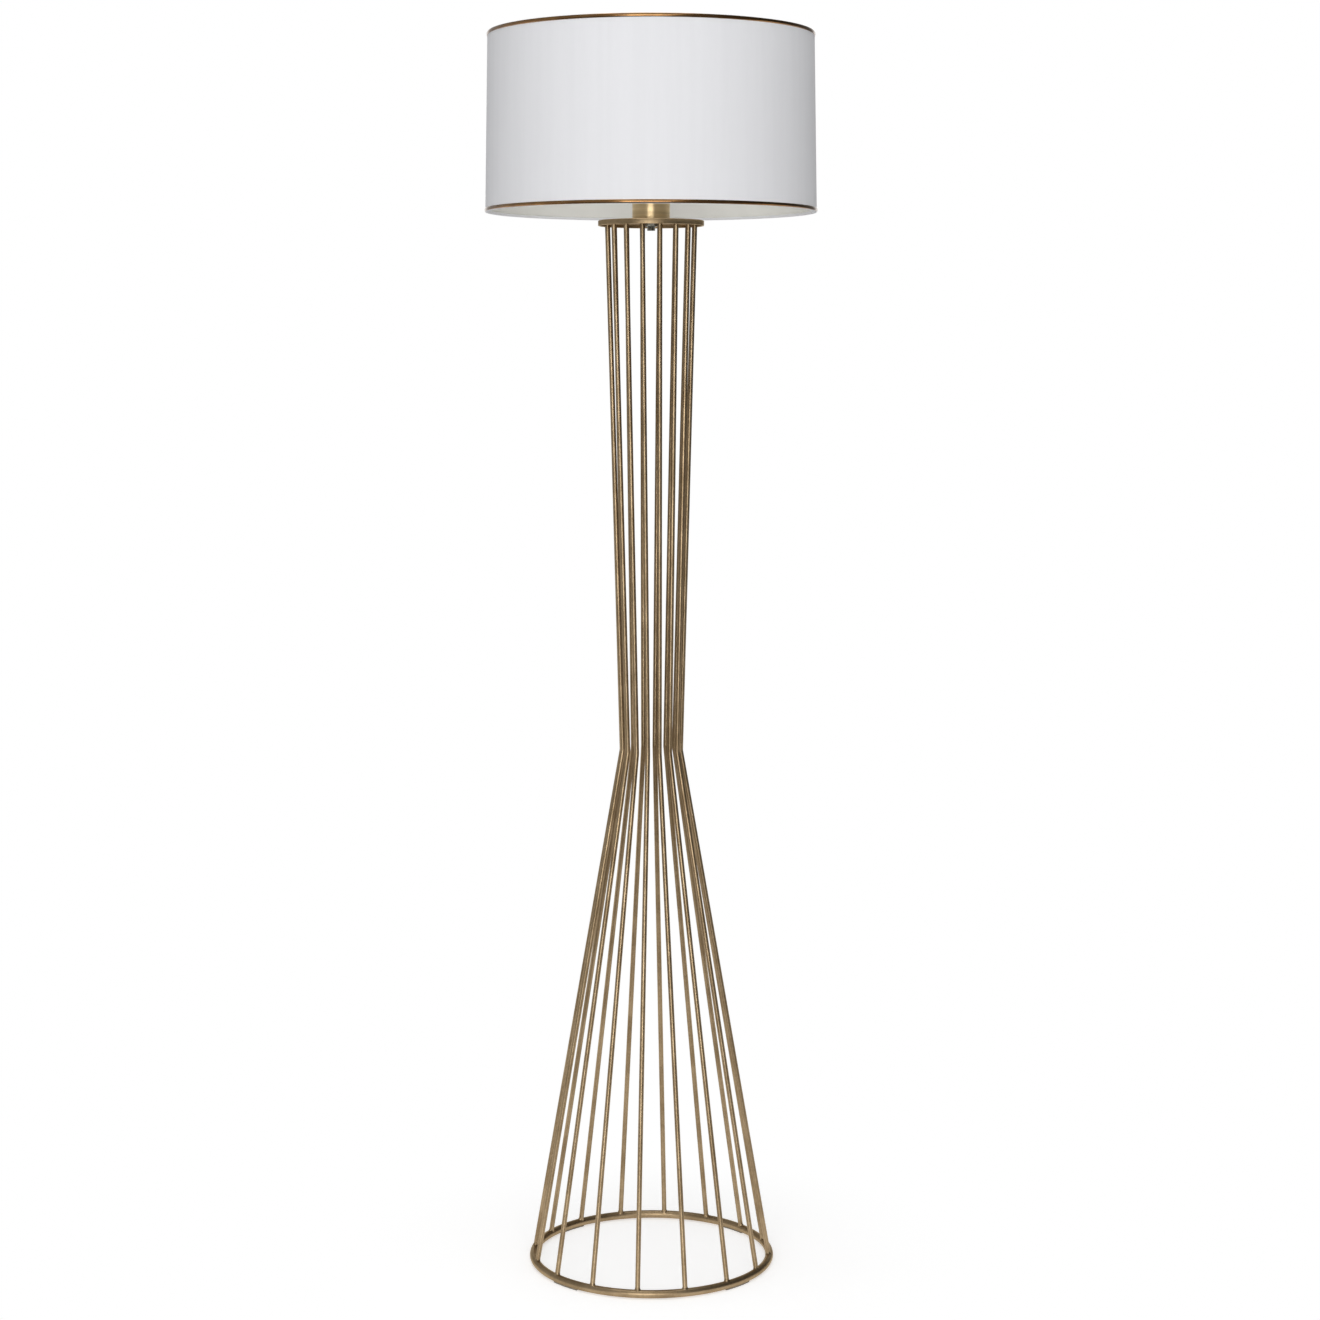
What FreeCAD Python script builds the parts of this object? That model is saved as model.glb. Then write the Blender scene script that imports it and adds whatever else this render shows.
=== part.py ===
import FreeCAD, Part
import math
import os

# Wire cage floor lamp. Millimetres, +Z up, the photographed side faces -Y.
# The origin is on the floor, at the middle of the foot ring.

# ---- foot ring and its glides ----
foot_ring_radius = 148.1
foot_bar_diameter = 10.0
glide_thickness = 0.8
glide_width = 5.0
glide_length = 40.0
glide_count = 4
glide_first_angle = 45.0

# ---- cage rods ----
rod_count = 16
rod_diameter = 6.0
rod_top_radius = 53.5
waist_radius = 36.3
waist_height = 646.0
rod_bend_radius = 14.0
waist_turn = 4.3
foot_turn = 4.7

# ---- welds round the rod ends ----
weld_reach = 1.5
weld_height = 2.4
weld_edge = 0.35
weld_hollow = 0.3

# ---- top cap ----
cap_radius = 63.8
cap_top_height = 1289.5
cap_sheet = 2.0
cap_rim_height = 6.5
cap_rim_wall = 2.2
cap_corner = 1.4
cap_rim_round = 0.6

# ---- threaded tube, washer and nut under the cap ----
tube_diameter = 10.0
tube_bore = 8.0
tube_length = 22.0
tube_below_nut = 5.0
thread_clearance = 0.05
hole_clearance = 0.25
washer_diameter = 20.0
washer_thickness = 1.0
nut_across_flats = 14.0
nut_height = 4.0

# ---- socket cup ----
cup_diameter = 45.4
cup_wall = 1.0
cup_height = 35.5
cup_corner = 0.8

# ---- lampholder ----
base_diameter = 38.0
base_height = 20.0
base_wall = 2.0
base_floor = 2.5
boss_diameter = 17.0
skirt_diameter = 39.6
skirt_bore = 30.4
skirt_height = 37.0
skirt_mouth_lip = 2.0
skirt_lip_inset = 1.2
block_clearance = 0.2
block_height = 12.0
block_seat_depth = 4.5
terminal_offset = 9.5
terminal_head_diameter = 5.0
terminal_head_height = 1.6
terminal_shank_diameter = 2.8
terminal_shank_length = 5.0
shell_bore = 27.0
shell_wall = 0.35
shell_height = 22.0
shell_flange_bore = 18.0
tongue_width = 5.0
tongue_thickness = 0.5
tongue_reach = 6.0
tongue_rise = 3.4

# ---- shade rings on the lampholder skirt ----
shade_ring_diameter = 55.0
shade_ring_flange = 2.5
shade_ring_neck_diameter = 47.0
shade_ring_neck_height = 3.5
grip_count = 16
grip_diameter = 4.0
grip_depth = 0.7

# ---- shade fitter ----
hub_thickness = 2.0
hub_bore = 42.0
hub_diameter = 60.0
arm_diameter = 4.0
arm_flat_length = 34.0
arm_end_length = 9.0
arm_bend_radius = 16.0
arm_weld_sink = 0.4
arm_wall_gap = 0.3

# ---- shade ----
shade_diameter = 400.0
shade_taper = 4.0
shade_height = 211.0
shade_above_cap = 9.5
drum_wall = 1.0
hoop_diameter = 3.0
hem_thickness = 0.5
hem_above_hoop_middle = 0.9
trim_height = 4.2
trim_thickness = 1.0
trim_edge = 0.35
trim_from_rim = 0.3
shade_fit = 0.1
seam_width = 12.0
seam_thickness = 0.3

# ---- bulb ----
bulb_length = 108.0
bulb_diameter = 60.0
bulb_glass_wall = 0.9
bulb_cap_diameter = 26.2
bulb_cap_height = 20.5
bulb_cap_wall = 0.4
bulb_cap_shoulder = 1.2
bulb_neck_diameter = 29.0
bulb_neck_height = 5.0
bulb_flare_angle = -28.0
bulb_flare_sag = 0.08
bulb_contact_diameter = 9.6
bulb_contact_height = 1.2
bulb_contact_flat = 0.6
bulb_contact_crown = 0.3
bulb_insulator_height = 4.8
bulb_clearance = 0.3

# ---- levels that follow from the sizes ----
foot_bar_radius = foot_bar_diameter / 2
rod_radius = rod_diameter / 2
foot_ring_level = glide_thickness + foot_bar_radius
cap_underside = cap_top_height - cap_sheet
washer_bottom = cap_underside - washer_thickness
nut_bottom = washer_bottom - nut_height
tube_bottom = nut_bottom - tube_below_nut
tube_radius = tube_diameter / 2
cup_floor_top = cap_top_height + cup_wall
cup_top = cap_top_height + cup_height
base_top = cup_floor_top + base_height
skirt_top = base_top + skirt_height
block_bottom = base_top - block_seat_depth
block_top = block_bottom + block_height
shade_ring_height = shade_ring_neck_height + shade_ring_flange
hub_bottom = cup_top + shade_ring_height
hub_top = hub_bottom + hub_thickness
shade_bottom = cap_top_height + shade_above_cap
shade_top = shade_bottom + shade_height
hoop_from_rim = hem_thickness + shade_fit + hoop_diameter / 2
bottom_hoop_level = shade_bottom + hoop_from_rim
top_hoop_level = shade_top - hoop_from_rim
bulb_bottom = block_top + tongue_rise + tongue_thickness + bulb_clearance


def vec(x, y, z):
    return FreeCAD.Vector(x, y, z)


def polar(radius, height, degrees):
    turn = math.radians(degrees)
    return vec(radius * math.cos(turn), radius * math.sin(turn), height)


def outline(start, *moves):
    """A closed face in the XZ plane. A move is a point, or a pair: a point on an arc and its end."""
    edges = []
    here = vec(start[0], 0, start[1])
    first = here
    for move in moves:
        if isinstance(move[0], tuple):
            middle = vec(move[0][0], 0, move[0][1])
            end = vec(move[1][0], 0, move[1][1])
            edges.append(Part.Arc(here, middle, end).toShape())
        else:
            end = vec(move[0], 0, move[1])
            edges.append(Part.LineSegment(here, end).toShape())
        here = end
    edges.append(Part.LineSegment(here, first).toShape())
    return Part.Face(Part.Wire(edges))


def corner_arc(centre_x, centre_z, radius, from_degrees, to_degrees):
    """The middle and end points of a rounded corner, as a move for outline()."""
    middle = math.radians((from_degrees + to_degrees) / 2)
    end = math.radians(to_degrees)
    return (
        (centre_x + radius * math.cos(middle), centre_z + radius * math.sin(middle)),
        (centre_x + radius * math.cos(end), centre_z + radius * math.sin(end)),
    )


def revolve(face, degrees=360.0):
    return face.revolve(vec(0, 0, 0), vec(0, 0, 1), degrees)


def turned(shape, degrees):
    copy = shape.copy()
    copy.rotate(vec(0, 0, 0), vec(0, 0, 1), degrees)
    return copy


def washer_shape(outer_radius, inner_radius, bottom, top):
    return revolve(outline(
        (inner_radius, bottom),
        (outer_radius, bottom),
        (outer_radius, top),
        (inner_radius, top),
    ))


def hoop(radius, level, bar_radius):
    return Part.makeTorus(radius, bar_radius, vec(0, 0, level), vec(0, 0, 1))


def bent_bar(points, bar_radius, bend_radius):
    """A round bar along straight runs, with a tangent arc at every corner."""
    edges = []
    here = points[0]
    for corner, after in zip(points[1:-1], points[2:]):
        arriving = (corner - here).normalize()
        leaving = (after - corner).normalize()
        turn = arriving.getAngle(leaving)
        setback = bend_radius * math.tan(turn / 2)
        start = corner - arriving * setback
        end = corner + leaving * setback
        inward = (leaving - arriving).normalize()
        centre = corner + inward * (bend_radius / math.cos(turn / 2))
        middle = centre - inward * bend_radius
        edges.append(Part.LineSegment(here, start).toShape())
        edges.append(Part.Arc(start, middle, end).toShape())
        here = end
    edges.append(Part.LineSegment(here, points[-1]).toShape())
    first_run = points[1] - points[0]
    section = Part.Wire(Part.makeCircle(bar_radius, points[0], first_run))
    return Part.Wire(edges).makePipeShell([section], True, False)


# ---- cage ----

def make_foot_ring():
    return hoop(foot_ring_radius, foot_ring_level, foot_bar_radius)


def make_glide(number):
    """A pad with a flat sole, hollowed on top to the curve of the bar."""
    half = glide_width / 2
    inner = foot_ring_radius - half
    outer = foot_ring_radius + half
    shoulder = foot_ring_level - math.sqrt(foot_bar_radius ** 2 - half ** 2)
    section = outline(
        (inner, 0),
        (outer, 0),
        (outer, shoulder),
        ((foot_ring_radius, glide_thickness), (inner, shoulder)),
    )
    sweep = math.degrees(glide_length / foot_ring_radius)
    start = glide_first_angle + number * 360.0 / glide_count - sweep / 2
    return turned(revolve(section, sweep), start)


def rod_points():
    """Foot, waist and top of the first rod. The foot is in the middle of the ring's bar."""
    first = -90.0 + 180.0 / rod_count
    foot = polar(foot_ring_radius, foot_ring_level, first + foot_turn)
    waist = polar(waist_radius, waist_height, first + waist_turn)
    top = polar(rod_top_radius, cap_underside, first)
    return foot, waist, top


def make_rod(foot_ring):
    """The first rod, its foot shaped to the ring and its top flush with the cap's underside."""
    foot, waist, top = rod_points()
    spare = (top - waist).normalize() * rod_diameter
    bar = bent_bar([foot, waist, top + spare], rod_radius, rod_bend_radius)
    above_sheet = Part.makeCylinder(cap_radius, rod_diameter * 2, vec(0, 0, cap_underside))
    return bar.cut(above_sheet).cut(foot_ring)


def weld_bead(origin, direction, seat, rod, carrier):
    """A flared collar round a rod's end, from its carrier out along the rod."""
    foot_radius = rod_radius + weld_reach
    edge_radius = rod_radius + weld_edge
    hollow = (
        edge_radius + (foot_radius - edge_radius) * weld_hollow,
        seat + weld_height * weld_hollow,
    )
    collar = revolve(outline(
        (0, 0),
        (foot_radius, 0),
        (foot_radius, seat),
        (hollow, (edge_radius, seat + weld_height)),
        (0, seat + weld_height),
    ))
    collar.Placement = FreeCAD.Placement(origin, FreeCAD.Rotation(vec(0, 0, 1), direction))
    return collar.cut(rod).cut(carrier)


def make_foot_bead(rod, foot_ring):
    foot, waist, top = rod_points()
    return weld_bead(foot, waist - foot, foot_bar_radius, rod, foot_ring)


def make_top_bead(rod):
    foot, waist, top = rod_points()
    above_sheet = Part.makeCylinder(cap_radius, rod_diameter * 2, vec(0, 0, cap_underside))
    seat = weld_edge
    start = top + (top - waist).normalize() * seat
    return weld_bead(start, waist - top, 2 * seat, rod, above_sheet)


def around(shape):
    """The sixteen copies of something that the rods repeat."""
    return [turned(shape, number * 360.0 / rod_count) for number in range(rod_count)]


def make_top_cap():
    inner = cap_radius - cap_rim_wall
    rim_bottom = cap_top_height - cap_rim_height
    hole = tube_radius + hole_clearance
    return revolve(outline(
        (hole, cap_underside),
        (inner - cap_corner, cap_underside),
        corner_arc(inner - cap_corner, cap_underside - cap_corner, cap_corner, 90, 0),
        (inner, rim_bottom + cap_rim_round),
        corner_arc(inner + cap_rim_round, rim_bottom + cap_rim_round, cap_rim_round, 180, 270),
        (cap_radius - cap_rim_round, rim_bottom),
        corner_arc(cap_radius - cap_rim_round, rim_bottom + cap_rim_round, cap_rim_round, 270, 360),
        (cap_radius, cap_top_height - cap_corner),
        corner_arc(cap_radius - cap_corner, cap_top_height - cap_corner, cap_corner, 0, 90),
        (hole, cap_top_height),
    ))


# ---- tube, washer and nut ----

def make_threaded_tube():
    return washer_shape(tube_radius, tube_bore / 2, tube_bottom, tube_bottom + tube_length)


def make_lock_washer():
    return washer_shape(washer_diameter / 2, tube_radius + hole_clearance, washer_bottom, cap_underside)


def make_lock_nut():
    """A hexagon nut with its corners turned down on the lower side."""
    corner = nut_across_flats / math.sqrt(3)
    corners = [polar(corner, nut_bottom, 60.0 * number) for number in range(7)]
    prism = Part.Face(Part.makePolygon(corners)).extrude(vec(0, 0, nut_height))
    bevel = corner - nut_across_flats / 2
    turned_body = revolve(outline(
        (tube_radius + thread_clearance, nut_bottom),
        (nut_across_flats / 2, nut_bottom),
        (corner, nut_bottom + bevel),
        (corner, washer_bottom),
        (tube_radius + thread_clearance, washer_bottom),
    ))
    return prism.common(turned_body)


def make_socket_cup():
    radius = cup_diameter / 2
    inner = radius - cup_wall
    hole = tube_radius + hole_clearance
    return revolve(outline(
        (hole, cap_top_height),
        (radius - cup_corner, cap_top_height),
        corner_arc(radius - cup_corner, cap_top_height + cup_corner, cup_corner, 270, 360),
        (radius, cup_top),
        (inner, cup_top),
        (inner, cup_floor_top),
        (hole, cup_floor_top),
    ))


# ---- lampholder ----

def make_lampholder_base():
    """A pot with a threaded boss in its floor and a ledge for the contact block."""
    radius = base_diameter / 2
    inner = radius - base_wall
    thread = tube_radius + thread_clearance
    boss = boss_diameter / 2
    boss_top = tube_bottom + tube_length
    ledge = inner - base_wall
    return revolve(outline(
        (thread, cup_floor_top),
        (radius, cup_floor_top),
        (radius, base_top),
        (inner, base_top),
        (inner, block_bottom),
        (ledge, block_bottom),
        (ledge, cup_floor_top + base_floor),
        (boss, cup_floor_top + base_floor),
        (boss, boss_top),
        (thread, boss_top),
    ))


def terminal_place(side):
    return vec(0, side * terminal_offset, block_bottom)


def make_contact_block():
    """The insulating block, stepped to pass up inside the skirt, with two terminal bores."""
    seat_radius = base_diameter / 2 - base_wall - block_clearance
    upper_radius = skirt_bore / 2 - block_clearance
    block = revolve(outline(
        (0, block_bottom),
        (seat_radius, block_bottom),
        (seat_radius, base_top),
        (upper_radius, base_top),
        (upper_radius, block_top),
        (0, block_top),
    ))
    shank_radius = terminal_shank_diameter / 2 + thread_clearance
    for side in (-1, 1):
        block = block.cut(Part.makeCylinder(shank_radius, terminal_shank_length, terminal_place(side)))
    return block


def make_terminal_screws():
    screws = []
    for side in (-1, 1):
        place = terminal_place(side)
        shank = Part.makeCylinder(terminal_shank_diameter / 2, terminal_shank_length, place)
        head_place = place - vec(0, 0, terminal_head_height)
        head = Part.makeCylinder(terminal_head_diameter / 2, terminal_head_height, head_place)
        screws.append(head.fuse(shank).removeSplitter())
    return Part.makeCompound(screws)


def make_centre_contact():
    """A springy brass tongue, folded back over itself to meet the bulb."""
    fold = (tongue_rise + tongue_thickness) / 2
    inner_fold = fold - tongue_thickness
    low = block_top
    crest = low + 2 * fold
    tip = -tongue_reach / 2
    tip_level = crest - tongue_thickness
    strip = outline(
        (-tongue_reach, low),
        (0, low),
        ((fold, low + fold), (0, crest)),
        (tip, tip_level),
        (tip, tip_level - tongue_thickness),
        (0, crest - tongue_thickness),
        ((inner_fold, low + fold), (0, low + tongue_thickness)),
        (-tongue_reach, low + tongue_thickness),
    )
    strip.translate(vec(0, -tongue_width / 2, 0))
    return strip.extrude(vec(0, tongue_width, 0))


def make_screw_shell():
    """The thin brass shell that takes the bulb's thread, turned in at its foot."""
    inner = shell_bore / 2
    outer = inner + shell_wall
    flange = shell_flange_bore / 2
    return revolve(outline(
        (flange, block_top),
        (outer, block_top),
        (outer, block_top + shell_height),
        (inner, block_top + shell_height),
        (inner, block_top + shell_wall),
        (flange, block_top + shell_wall),
    ))


def make_lampholder_skirt():
    radius = skirt_diameter / 2
    bore = skirt_bore / 2
    lip = radius - skirt_lip_inset
    return revolve(outline(
        (bore, base_top),
        (radius, base_top),
        (radius, skirt_top - skirt_mouth_lip),
        (lip, skirt_top - skirt_mouth_lip),
        (lip, skirt_top),
        (bore, skirt_top),
    ))


def grip_notches(shape, low):
    """Cuts the finger grips round the flange of a shade ring."""
    reach = shade_ring_diameter / 2 + grip_diameter / 2 - grip_depth
    for number in range(grip_count):
        place = polar(reach, low, number * 360.0 / grip_count)
        shape = shape.cut(Part.makeCylinder(grip_diameter / 2, shade_ring_flange, place))
    return shape


def shade_ring_outline(face_level, away):
    """A flanged nut on the skirt's thread. Its flat face is at face_level, its neck points away."""
    thread = skirt_diameter / 2 + thread_clearance
    flange = shade_ring_diameter / 2
    neck = shade_ring_neck_diameter / 2
    flange_back = face_level + away * shade_ring_flange
    neck_end = face_level + away * shade_ring_height
    return revolve(outline(
        (thread, face_level),
        (flange, face_level),
        (flange, flange_back),
        (neck, flange_back),
        (neck, neck_end),
        (thread, neck_end),
    ))


def make_lower_shade_ring():
    return grip_notches(shade_ring_outline(hub_bottom, -1), hub_bottom - shade_ring_flange)


def make_upper_shade_ring():
    return grip_notches(shade_ring_outline(hub_top, 1), hub_top)


# ---- shade ----

def drum_radius(level):
    """Outer radius of the drum's skin at a height. The drum narrows towards its top."""
    share = (level - shade_bottom) / shade_height
    return shade_diameter / 2 - trim_thickness - share * shade_taper


def skin_point(level, outward):
    return (drum_radius(level) + outward, level)


def hoop_radius(level):
    return drum_radius(level) - drum_wall - shade_fit - hoop_diameter / 2


def make_shade_drum():
    low = shade_bottom + hem_thickness + shade_fit
    high = shade_top - hem_thickness - shade_fit
    return revolve(outline(
        skin_point(low, -drum_wall),
        skin_point(low, 0),
        skin_point(high, 0),
        skin_point(high, -drum_wall),
    ))


def make_drum_seam():
    """The lap of the rolled skin, a strip up the back between the trims."""
    low = shade_bottom + trim_from_rim + trim_height + shade_fit
    high = shade_top - trim_from_rim - trim_height - shade_fit
    strip = outline(
        skin_point(low, 0),
        skin_point(low, seam_thickness),
        skin_point(high, seam_thickness),
        skin_point(high, 0),
    )
    sweep = math.degrees(seam_width / (shade_diameter / 2))
    return turned(revolve(strip, sweep), 90.0 - sweep / 2)


def make_hem(rim, inward):
    """The skin folded in under the drum's edge and up inside the hoop."""
    inside = -(drum_wall + shade_fit + hoop_diameter + shade_fit)
    face = inside - hem_thickness
    bend = hem_thickness * (1 - math.sqrt(0.5))
    floor = rim + inward * hem_thickness
    end = rim + inward * (hoop_from_rim + hem_above_hoop_middle)
    return revolve(outline(
        skin_point(rim, 0),
        skin_point(rim, inside),
        (skin_point(rim + inward * bend, face + bend), skin_point(floor, face)),
        skin_point(end, face),
        skin_point(end, inside),
        skin_point(floor, inside),
        skin_point(floor, 0),
    ))


def make_trim(rim, inward):
    """The gold edging, a band with a rounded face round the outside of a rim."""
    near = rim + inward * trim_from_rim
    far = near + inward * trim_height
    crown = skin_point((near + far) / 2, trim_thickness)
    return revolve(outline(
        skin_point(near, 0),
        skin_point(near, trim_edge),
        (crown, skin_point(far, trim_edge)),
        skin_point(far, 0),
    ))


def make_bottom_hoop():
    return hoop(hoop_radius(bottom_hoop_level), bottom_hoop_level, hoop_diameter / 2)


def make_top_hoop():
    return hoop(hoop_radius(top_hoop_level), top_hoop_level, hoop_diameter / 2)


def make_fitter_hub():
    return washer_shape(hub_diameter / 2, hub_bore / 2, hub_bottom, hub_top)


def make_fitter_arm(hub, bottom_hoop, degrees):
    """A wire from the hub's edge down to the bottom hoop, which it crosses and is welded to."""
    arm_radius = arm_diameter / 2
    hub_level = (hub_bottom + hub_top) / 2
    inner = hub_diameter / 2 - hub_thickness / 2
    end_level = bottom_hoop_level + hoop_diameter / 2 + arm_radius - arm_weld_sink
    end = drum_radius(end_level + arm_radius) - drum_wall - arm_wall_gap
    path = [
        vec(inner, 0, hub_level),
        vec(hub_diameter / 2 + arm_flat_length, 0, hub_level),
        vec(end - arm_end_length, 0, end_level),
        vec(end, 0, end_level),
    ]
    bar = bent_bar(path, arm_radius, arm_bend_radius)
    hub_blank = Part.makeCylinder(hub_diameter / 2, arm_diameter, vec(0, 0, hub_level - arm_radius))
    return turned(bar.cut(hub_blank).cut(bottom_hoop), degrees)


# ---- bulb ----

def make_bulb_contact():
    radius = bulb_contact_diameter / 2
    top = bulb_bottom + bulb_contact_height
    return revolve(outline(
        (0, bulb_bottom),
        (
            (radius * bulb_contact_flat, bulb_bottom + bulb_contact_height * bulb_contact_crown),
            (radius, top),
        ),
        (0, top),
    ))


def make_bulb_insulator():
    low = bulb_bottom + bulb_contact_height
    high = low + bulb_insulator_height
    rim = bulb_cap_diameter / 2 - bulb_cap_shoulder
    return revolve(outline(
        (0, low),
        (bulb_contact_diameter / 2, low),
        (rim, high),
        (0, high),
    ))


def make_bulb_cap():
    """The metal cap: rounded in over the insulator, straight where its thread is, open on top."""
    low = bulb_bottom + bulb_contact_height + bulb_insulator_height
    high = low + bulb_cap_height
    outer = bulb_cap_diameter / 2
    shoulder = bulb_cap_shoulder
    inner = outer - bulb_cap_wall
    return revolve(outline(
        (outer - shoulder, low),
        corner_arc(outer - shoulder, low + shoulder, shoulder, 270, 360),
        (outer, high),
        (inner, high),
        (inner, low + shoulder + bulb_cap_wall),
        (0, low + shoulder + bulb_cap_wall),
        (0, low),
    ))


def bulb_profile(inset):
    """The glass outline at a distance inside its outer face, from the neck up to the crown."""
    low = bulb_bottom + bulb_contact_height + bulb_insulator_height + bulb_cap_height
    ball = bulb_diameter / 2
    centre = bulb_bottom + bulb_length - ball
    neck = bulb_neck_diameter / 2
    neck_top = low + bulb_neck_height
    start = math.radians(bulb_flare_angle)
    join = (ball * math.cos(start), centre + ball * math.sin(start))
    along = math.atan2(join[1] - neck_top, join[0] - neck)
    sag = (join[0] - neck) * bulb_flare_sag
    middle = (
        (join[0] + neck) / 2 - sag * math.sin(along) + inset * -math.sin(along),
        (join[1] + neck_top) / 2 + sag * math.cos(along) + inset * math.cos(along),
    )
    size = ball - inset
    crown = corner_arc(0, centre, size, bulb_flare_angle, 90)[0]
    return [
        (neck - inset, low),
        (neck - inset, neck_top),
        (middle, (size * math.cos(start), centre + size * math.sin(start))),
        (crown, (0, centre + size)),
    ]


def make_bulb_glass():
    low = bulb_bottom + bulb_contact_height + bulb_insulator_height + bulb_cap_height
    outer = revolve(outline((0, low), *bulb_profile(0)))
    inner = revolve(outline((0, low), *bulb_profile(bulb_glass_wall)))
    return outer.cut(inner)


def save(name, shape):
    shape.exportStep("parts/" + name + ".step")


def main():
    os.makedirs("parts", exist_ok=True)

    foot_ring = make_foot_ring()
    rod = make_rod(foot_ring)
    save("foot_ring", foot_ring)
    for number in range(glide_count):
        save("foot_glide_%d" % (number + 1), make_glide(number))
    for number, copy in enumerate(around(rod)):
        save("cage_rod_%02d" % (number + 1), copy)
    save("foot_weld_beads", Part.makeCompound(around(make_foot_bead(rod, foot_ring))))
    save("top_weld_beads", Part.makeCompound(around(make_top_bead(rod))))
    save("top_cap", make_top_cap())

    save("threaded_tube", make_threaded_tube())
    save("lock_washer", make_lock_washer())
    save("lock_nut", make_lock_nut())
    save("socket_cup", make_socket_cup())

    save("lampholder_base", make_lampholder_base())
    save("contact_block", make_contact_block())
    save("terminal_screws", make_terminal_screws())
    save("centre_contact", make_centre_contact())
    save("screw_shell", make_screw_shell())
    save("lampholder_skirt", make_lampholder_skirt())
    save("lower_shade_ring", make_lower_shade_ring())
    save("upper_shade_ring", make_upper_shade_ring())

    hub = make_fitter_hub()
    bottom_hoop = make_bottom_hoop()
    save("fitter_hub", hub)
    for place, degrees in (("back", 90.0), ("left", 210.0), ("right", 330.0)):
        save("fitter_arm_" + place, make_fitter_arm(hub, bottom_hoop, degrees))
    save("bottom_hoop", bottom_hoop)
    save("top_hoop", make_top_hoop())
    save("shade_drum", make_shade_drum())
    save("drum_seam", make_drum_seam())
    save("bottom_hem", make_hem(shade_bottom, 1))
    save("top_hem", make_hem(shade_top, -1))
    save("bottom_trim", make_trim(shade_bottom, 1))
    save("top_trim", make_trim(shade_top, -1))

    save("bulb_contact", make_bulb_contact())
    save("bulb_insulator", make_bulb_insulator())
    save("bulb_cap", make_bulb_cap())
    save("bulb_glass", make_bulb_glass())


main()
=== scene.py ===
"""Wire cage floor lamp: a waisted cage of bent rods, its lampholder, and a drum shade with gold edging."""

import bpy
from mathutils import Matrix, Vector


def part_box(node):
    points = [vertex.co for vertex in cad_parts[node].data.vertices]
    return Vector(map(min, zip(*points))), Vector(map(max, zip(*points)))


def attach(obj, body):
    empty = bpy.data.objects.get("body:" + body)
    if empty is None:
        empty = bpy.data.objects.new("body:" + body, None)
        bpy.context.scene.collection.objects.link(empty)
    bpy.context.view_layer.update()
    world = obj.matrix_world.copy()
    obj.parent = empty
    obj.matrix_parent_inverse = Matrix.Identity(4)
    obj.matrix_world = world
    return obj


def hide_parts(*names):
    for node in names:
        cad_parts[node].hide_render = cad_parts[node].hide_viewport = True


bl_info = {
    "name": "Wire cage floor lamp",
    "version": (1, 0, 0),
    "blender": (4, 5, 0),
    "location": "View3D > Sidebar > Lamp",
    "description": "Dresses the lamp's frame with finished pieces and sets up its studio",
    "category": "Object",
}

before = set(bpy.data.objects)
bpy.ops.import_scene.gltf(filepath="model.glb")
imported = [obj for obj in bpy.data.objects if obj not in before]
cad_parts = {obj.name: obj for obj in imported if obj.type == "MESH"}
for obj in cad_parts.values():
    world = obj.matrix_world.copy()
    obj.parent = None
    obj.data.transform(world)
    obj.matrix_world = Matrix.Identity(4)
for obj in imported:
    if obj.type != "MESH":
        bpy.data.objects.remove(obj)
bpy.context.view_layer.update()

import math
import random

import bmesh
import bpy
from bpy.props import FloatProperty, FloatVectorProperty, IntProperty, PointerProperty
from mathutils import Matrix, Vector

MM = 0.001
WELD_SEED = 16
DRUM_SEGMENTS = 360
CREASE = 32.0
MERGE_DISTANCE = 1e-7
FINISHED = "_finish"
RELIEF_DEPTH = 0.05 * MM
SINK = 0.05 * MM
BISECTIONS = 40
BACKDROP_START = 0.88
BACKDROP_END = 0.96
DARKEST_ROOM = 0.02


# ---- sizes and colours that a user would change ----

def length(name, description, default):
    return FloatProperty(
        name=name, description=description, default=default, min=0.0, unit="LENGTH", precision=5
    )


def size(name, description, millimetres):
    return length(name, description, millimetres * MM)


def place(name, description, default):
    return FloatVectorProperty(
        name=name, description=description, default=default, size=3, subtype="XYZ", unit="LENGTH"
    )


def angle(name, description, degrees):
    return FloatProperty(name=name, description=description, default=math.radians(degrees), subtype="ANGLE")


def amount(name, description, default):
    return FloatProperty(name=name, description=description, default=default, min=0.0)


def colour(name, description, default):
    return FloatVectorProperty(
        name=name, description=description, default=default, size=3, min=0.0, max=1.0, subtype="COLOR"
    )


class LampCage(bpy.types.PropertyGroup):
    """Sizes of the welded cage and its cap."""
    rod_count: IntProperty(name="Rods", description="How many rods stand round the cage", default=16, min=3)
    rod_diameter: size("Rod diameter", "Thickness of a rod", 6.0)
    rod_top_radius: size("Radius at the cap", "Distance of the rods from the axis under the cap", 53.5)
    waist_radius: size("Waist radius", "Distance of the rods from the axis at the bend", 36.3)
    waist_height: size("Waist height", "Level of the bend in every rod", 646.0)
    bend_radius: size("Bend radius", "Radius that a rod is bent to at the waist", 14.0)
    waist_turn: angle("Turn at the waist", "How far a rod has leaned round the axis at the waist", 4.3)
    foot_turn: angle("Turn at the foot", "How far a rod has leaned round the axis at the ring", 4.7)
    weld_reach: size("Weld reach", "How far a weld spreads from its rod", 1.4)
    weld_height: size("Weld height", "How far a weld climbs its rod", 2.4)
    cap_rim_wall: size("Cap rim", "Thickness of the cap's turned-down rim", 2.2)
    cap_corner: size("Cap corner", "Rounding of the cap's upper edge", 1.4)
    cap_rim_round: size("Cap rim rounding", "Rounding of the rim's lower edges", 0.6)


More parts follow.
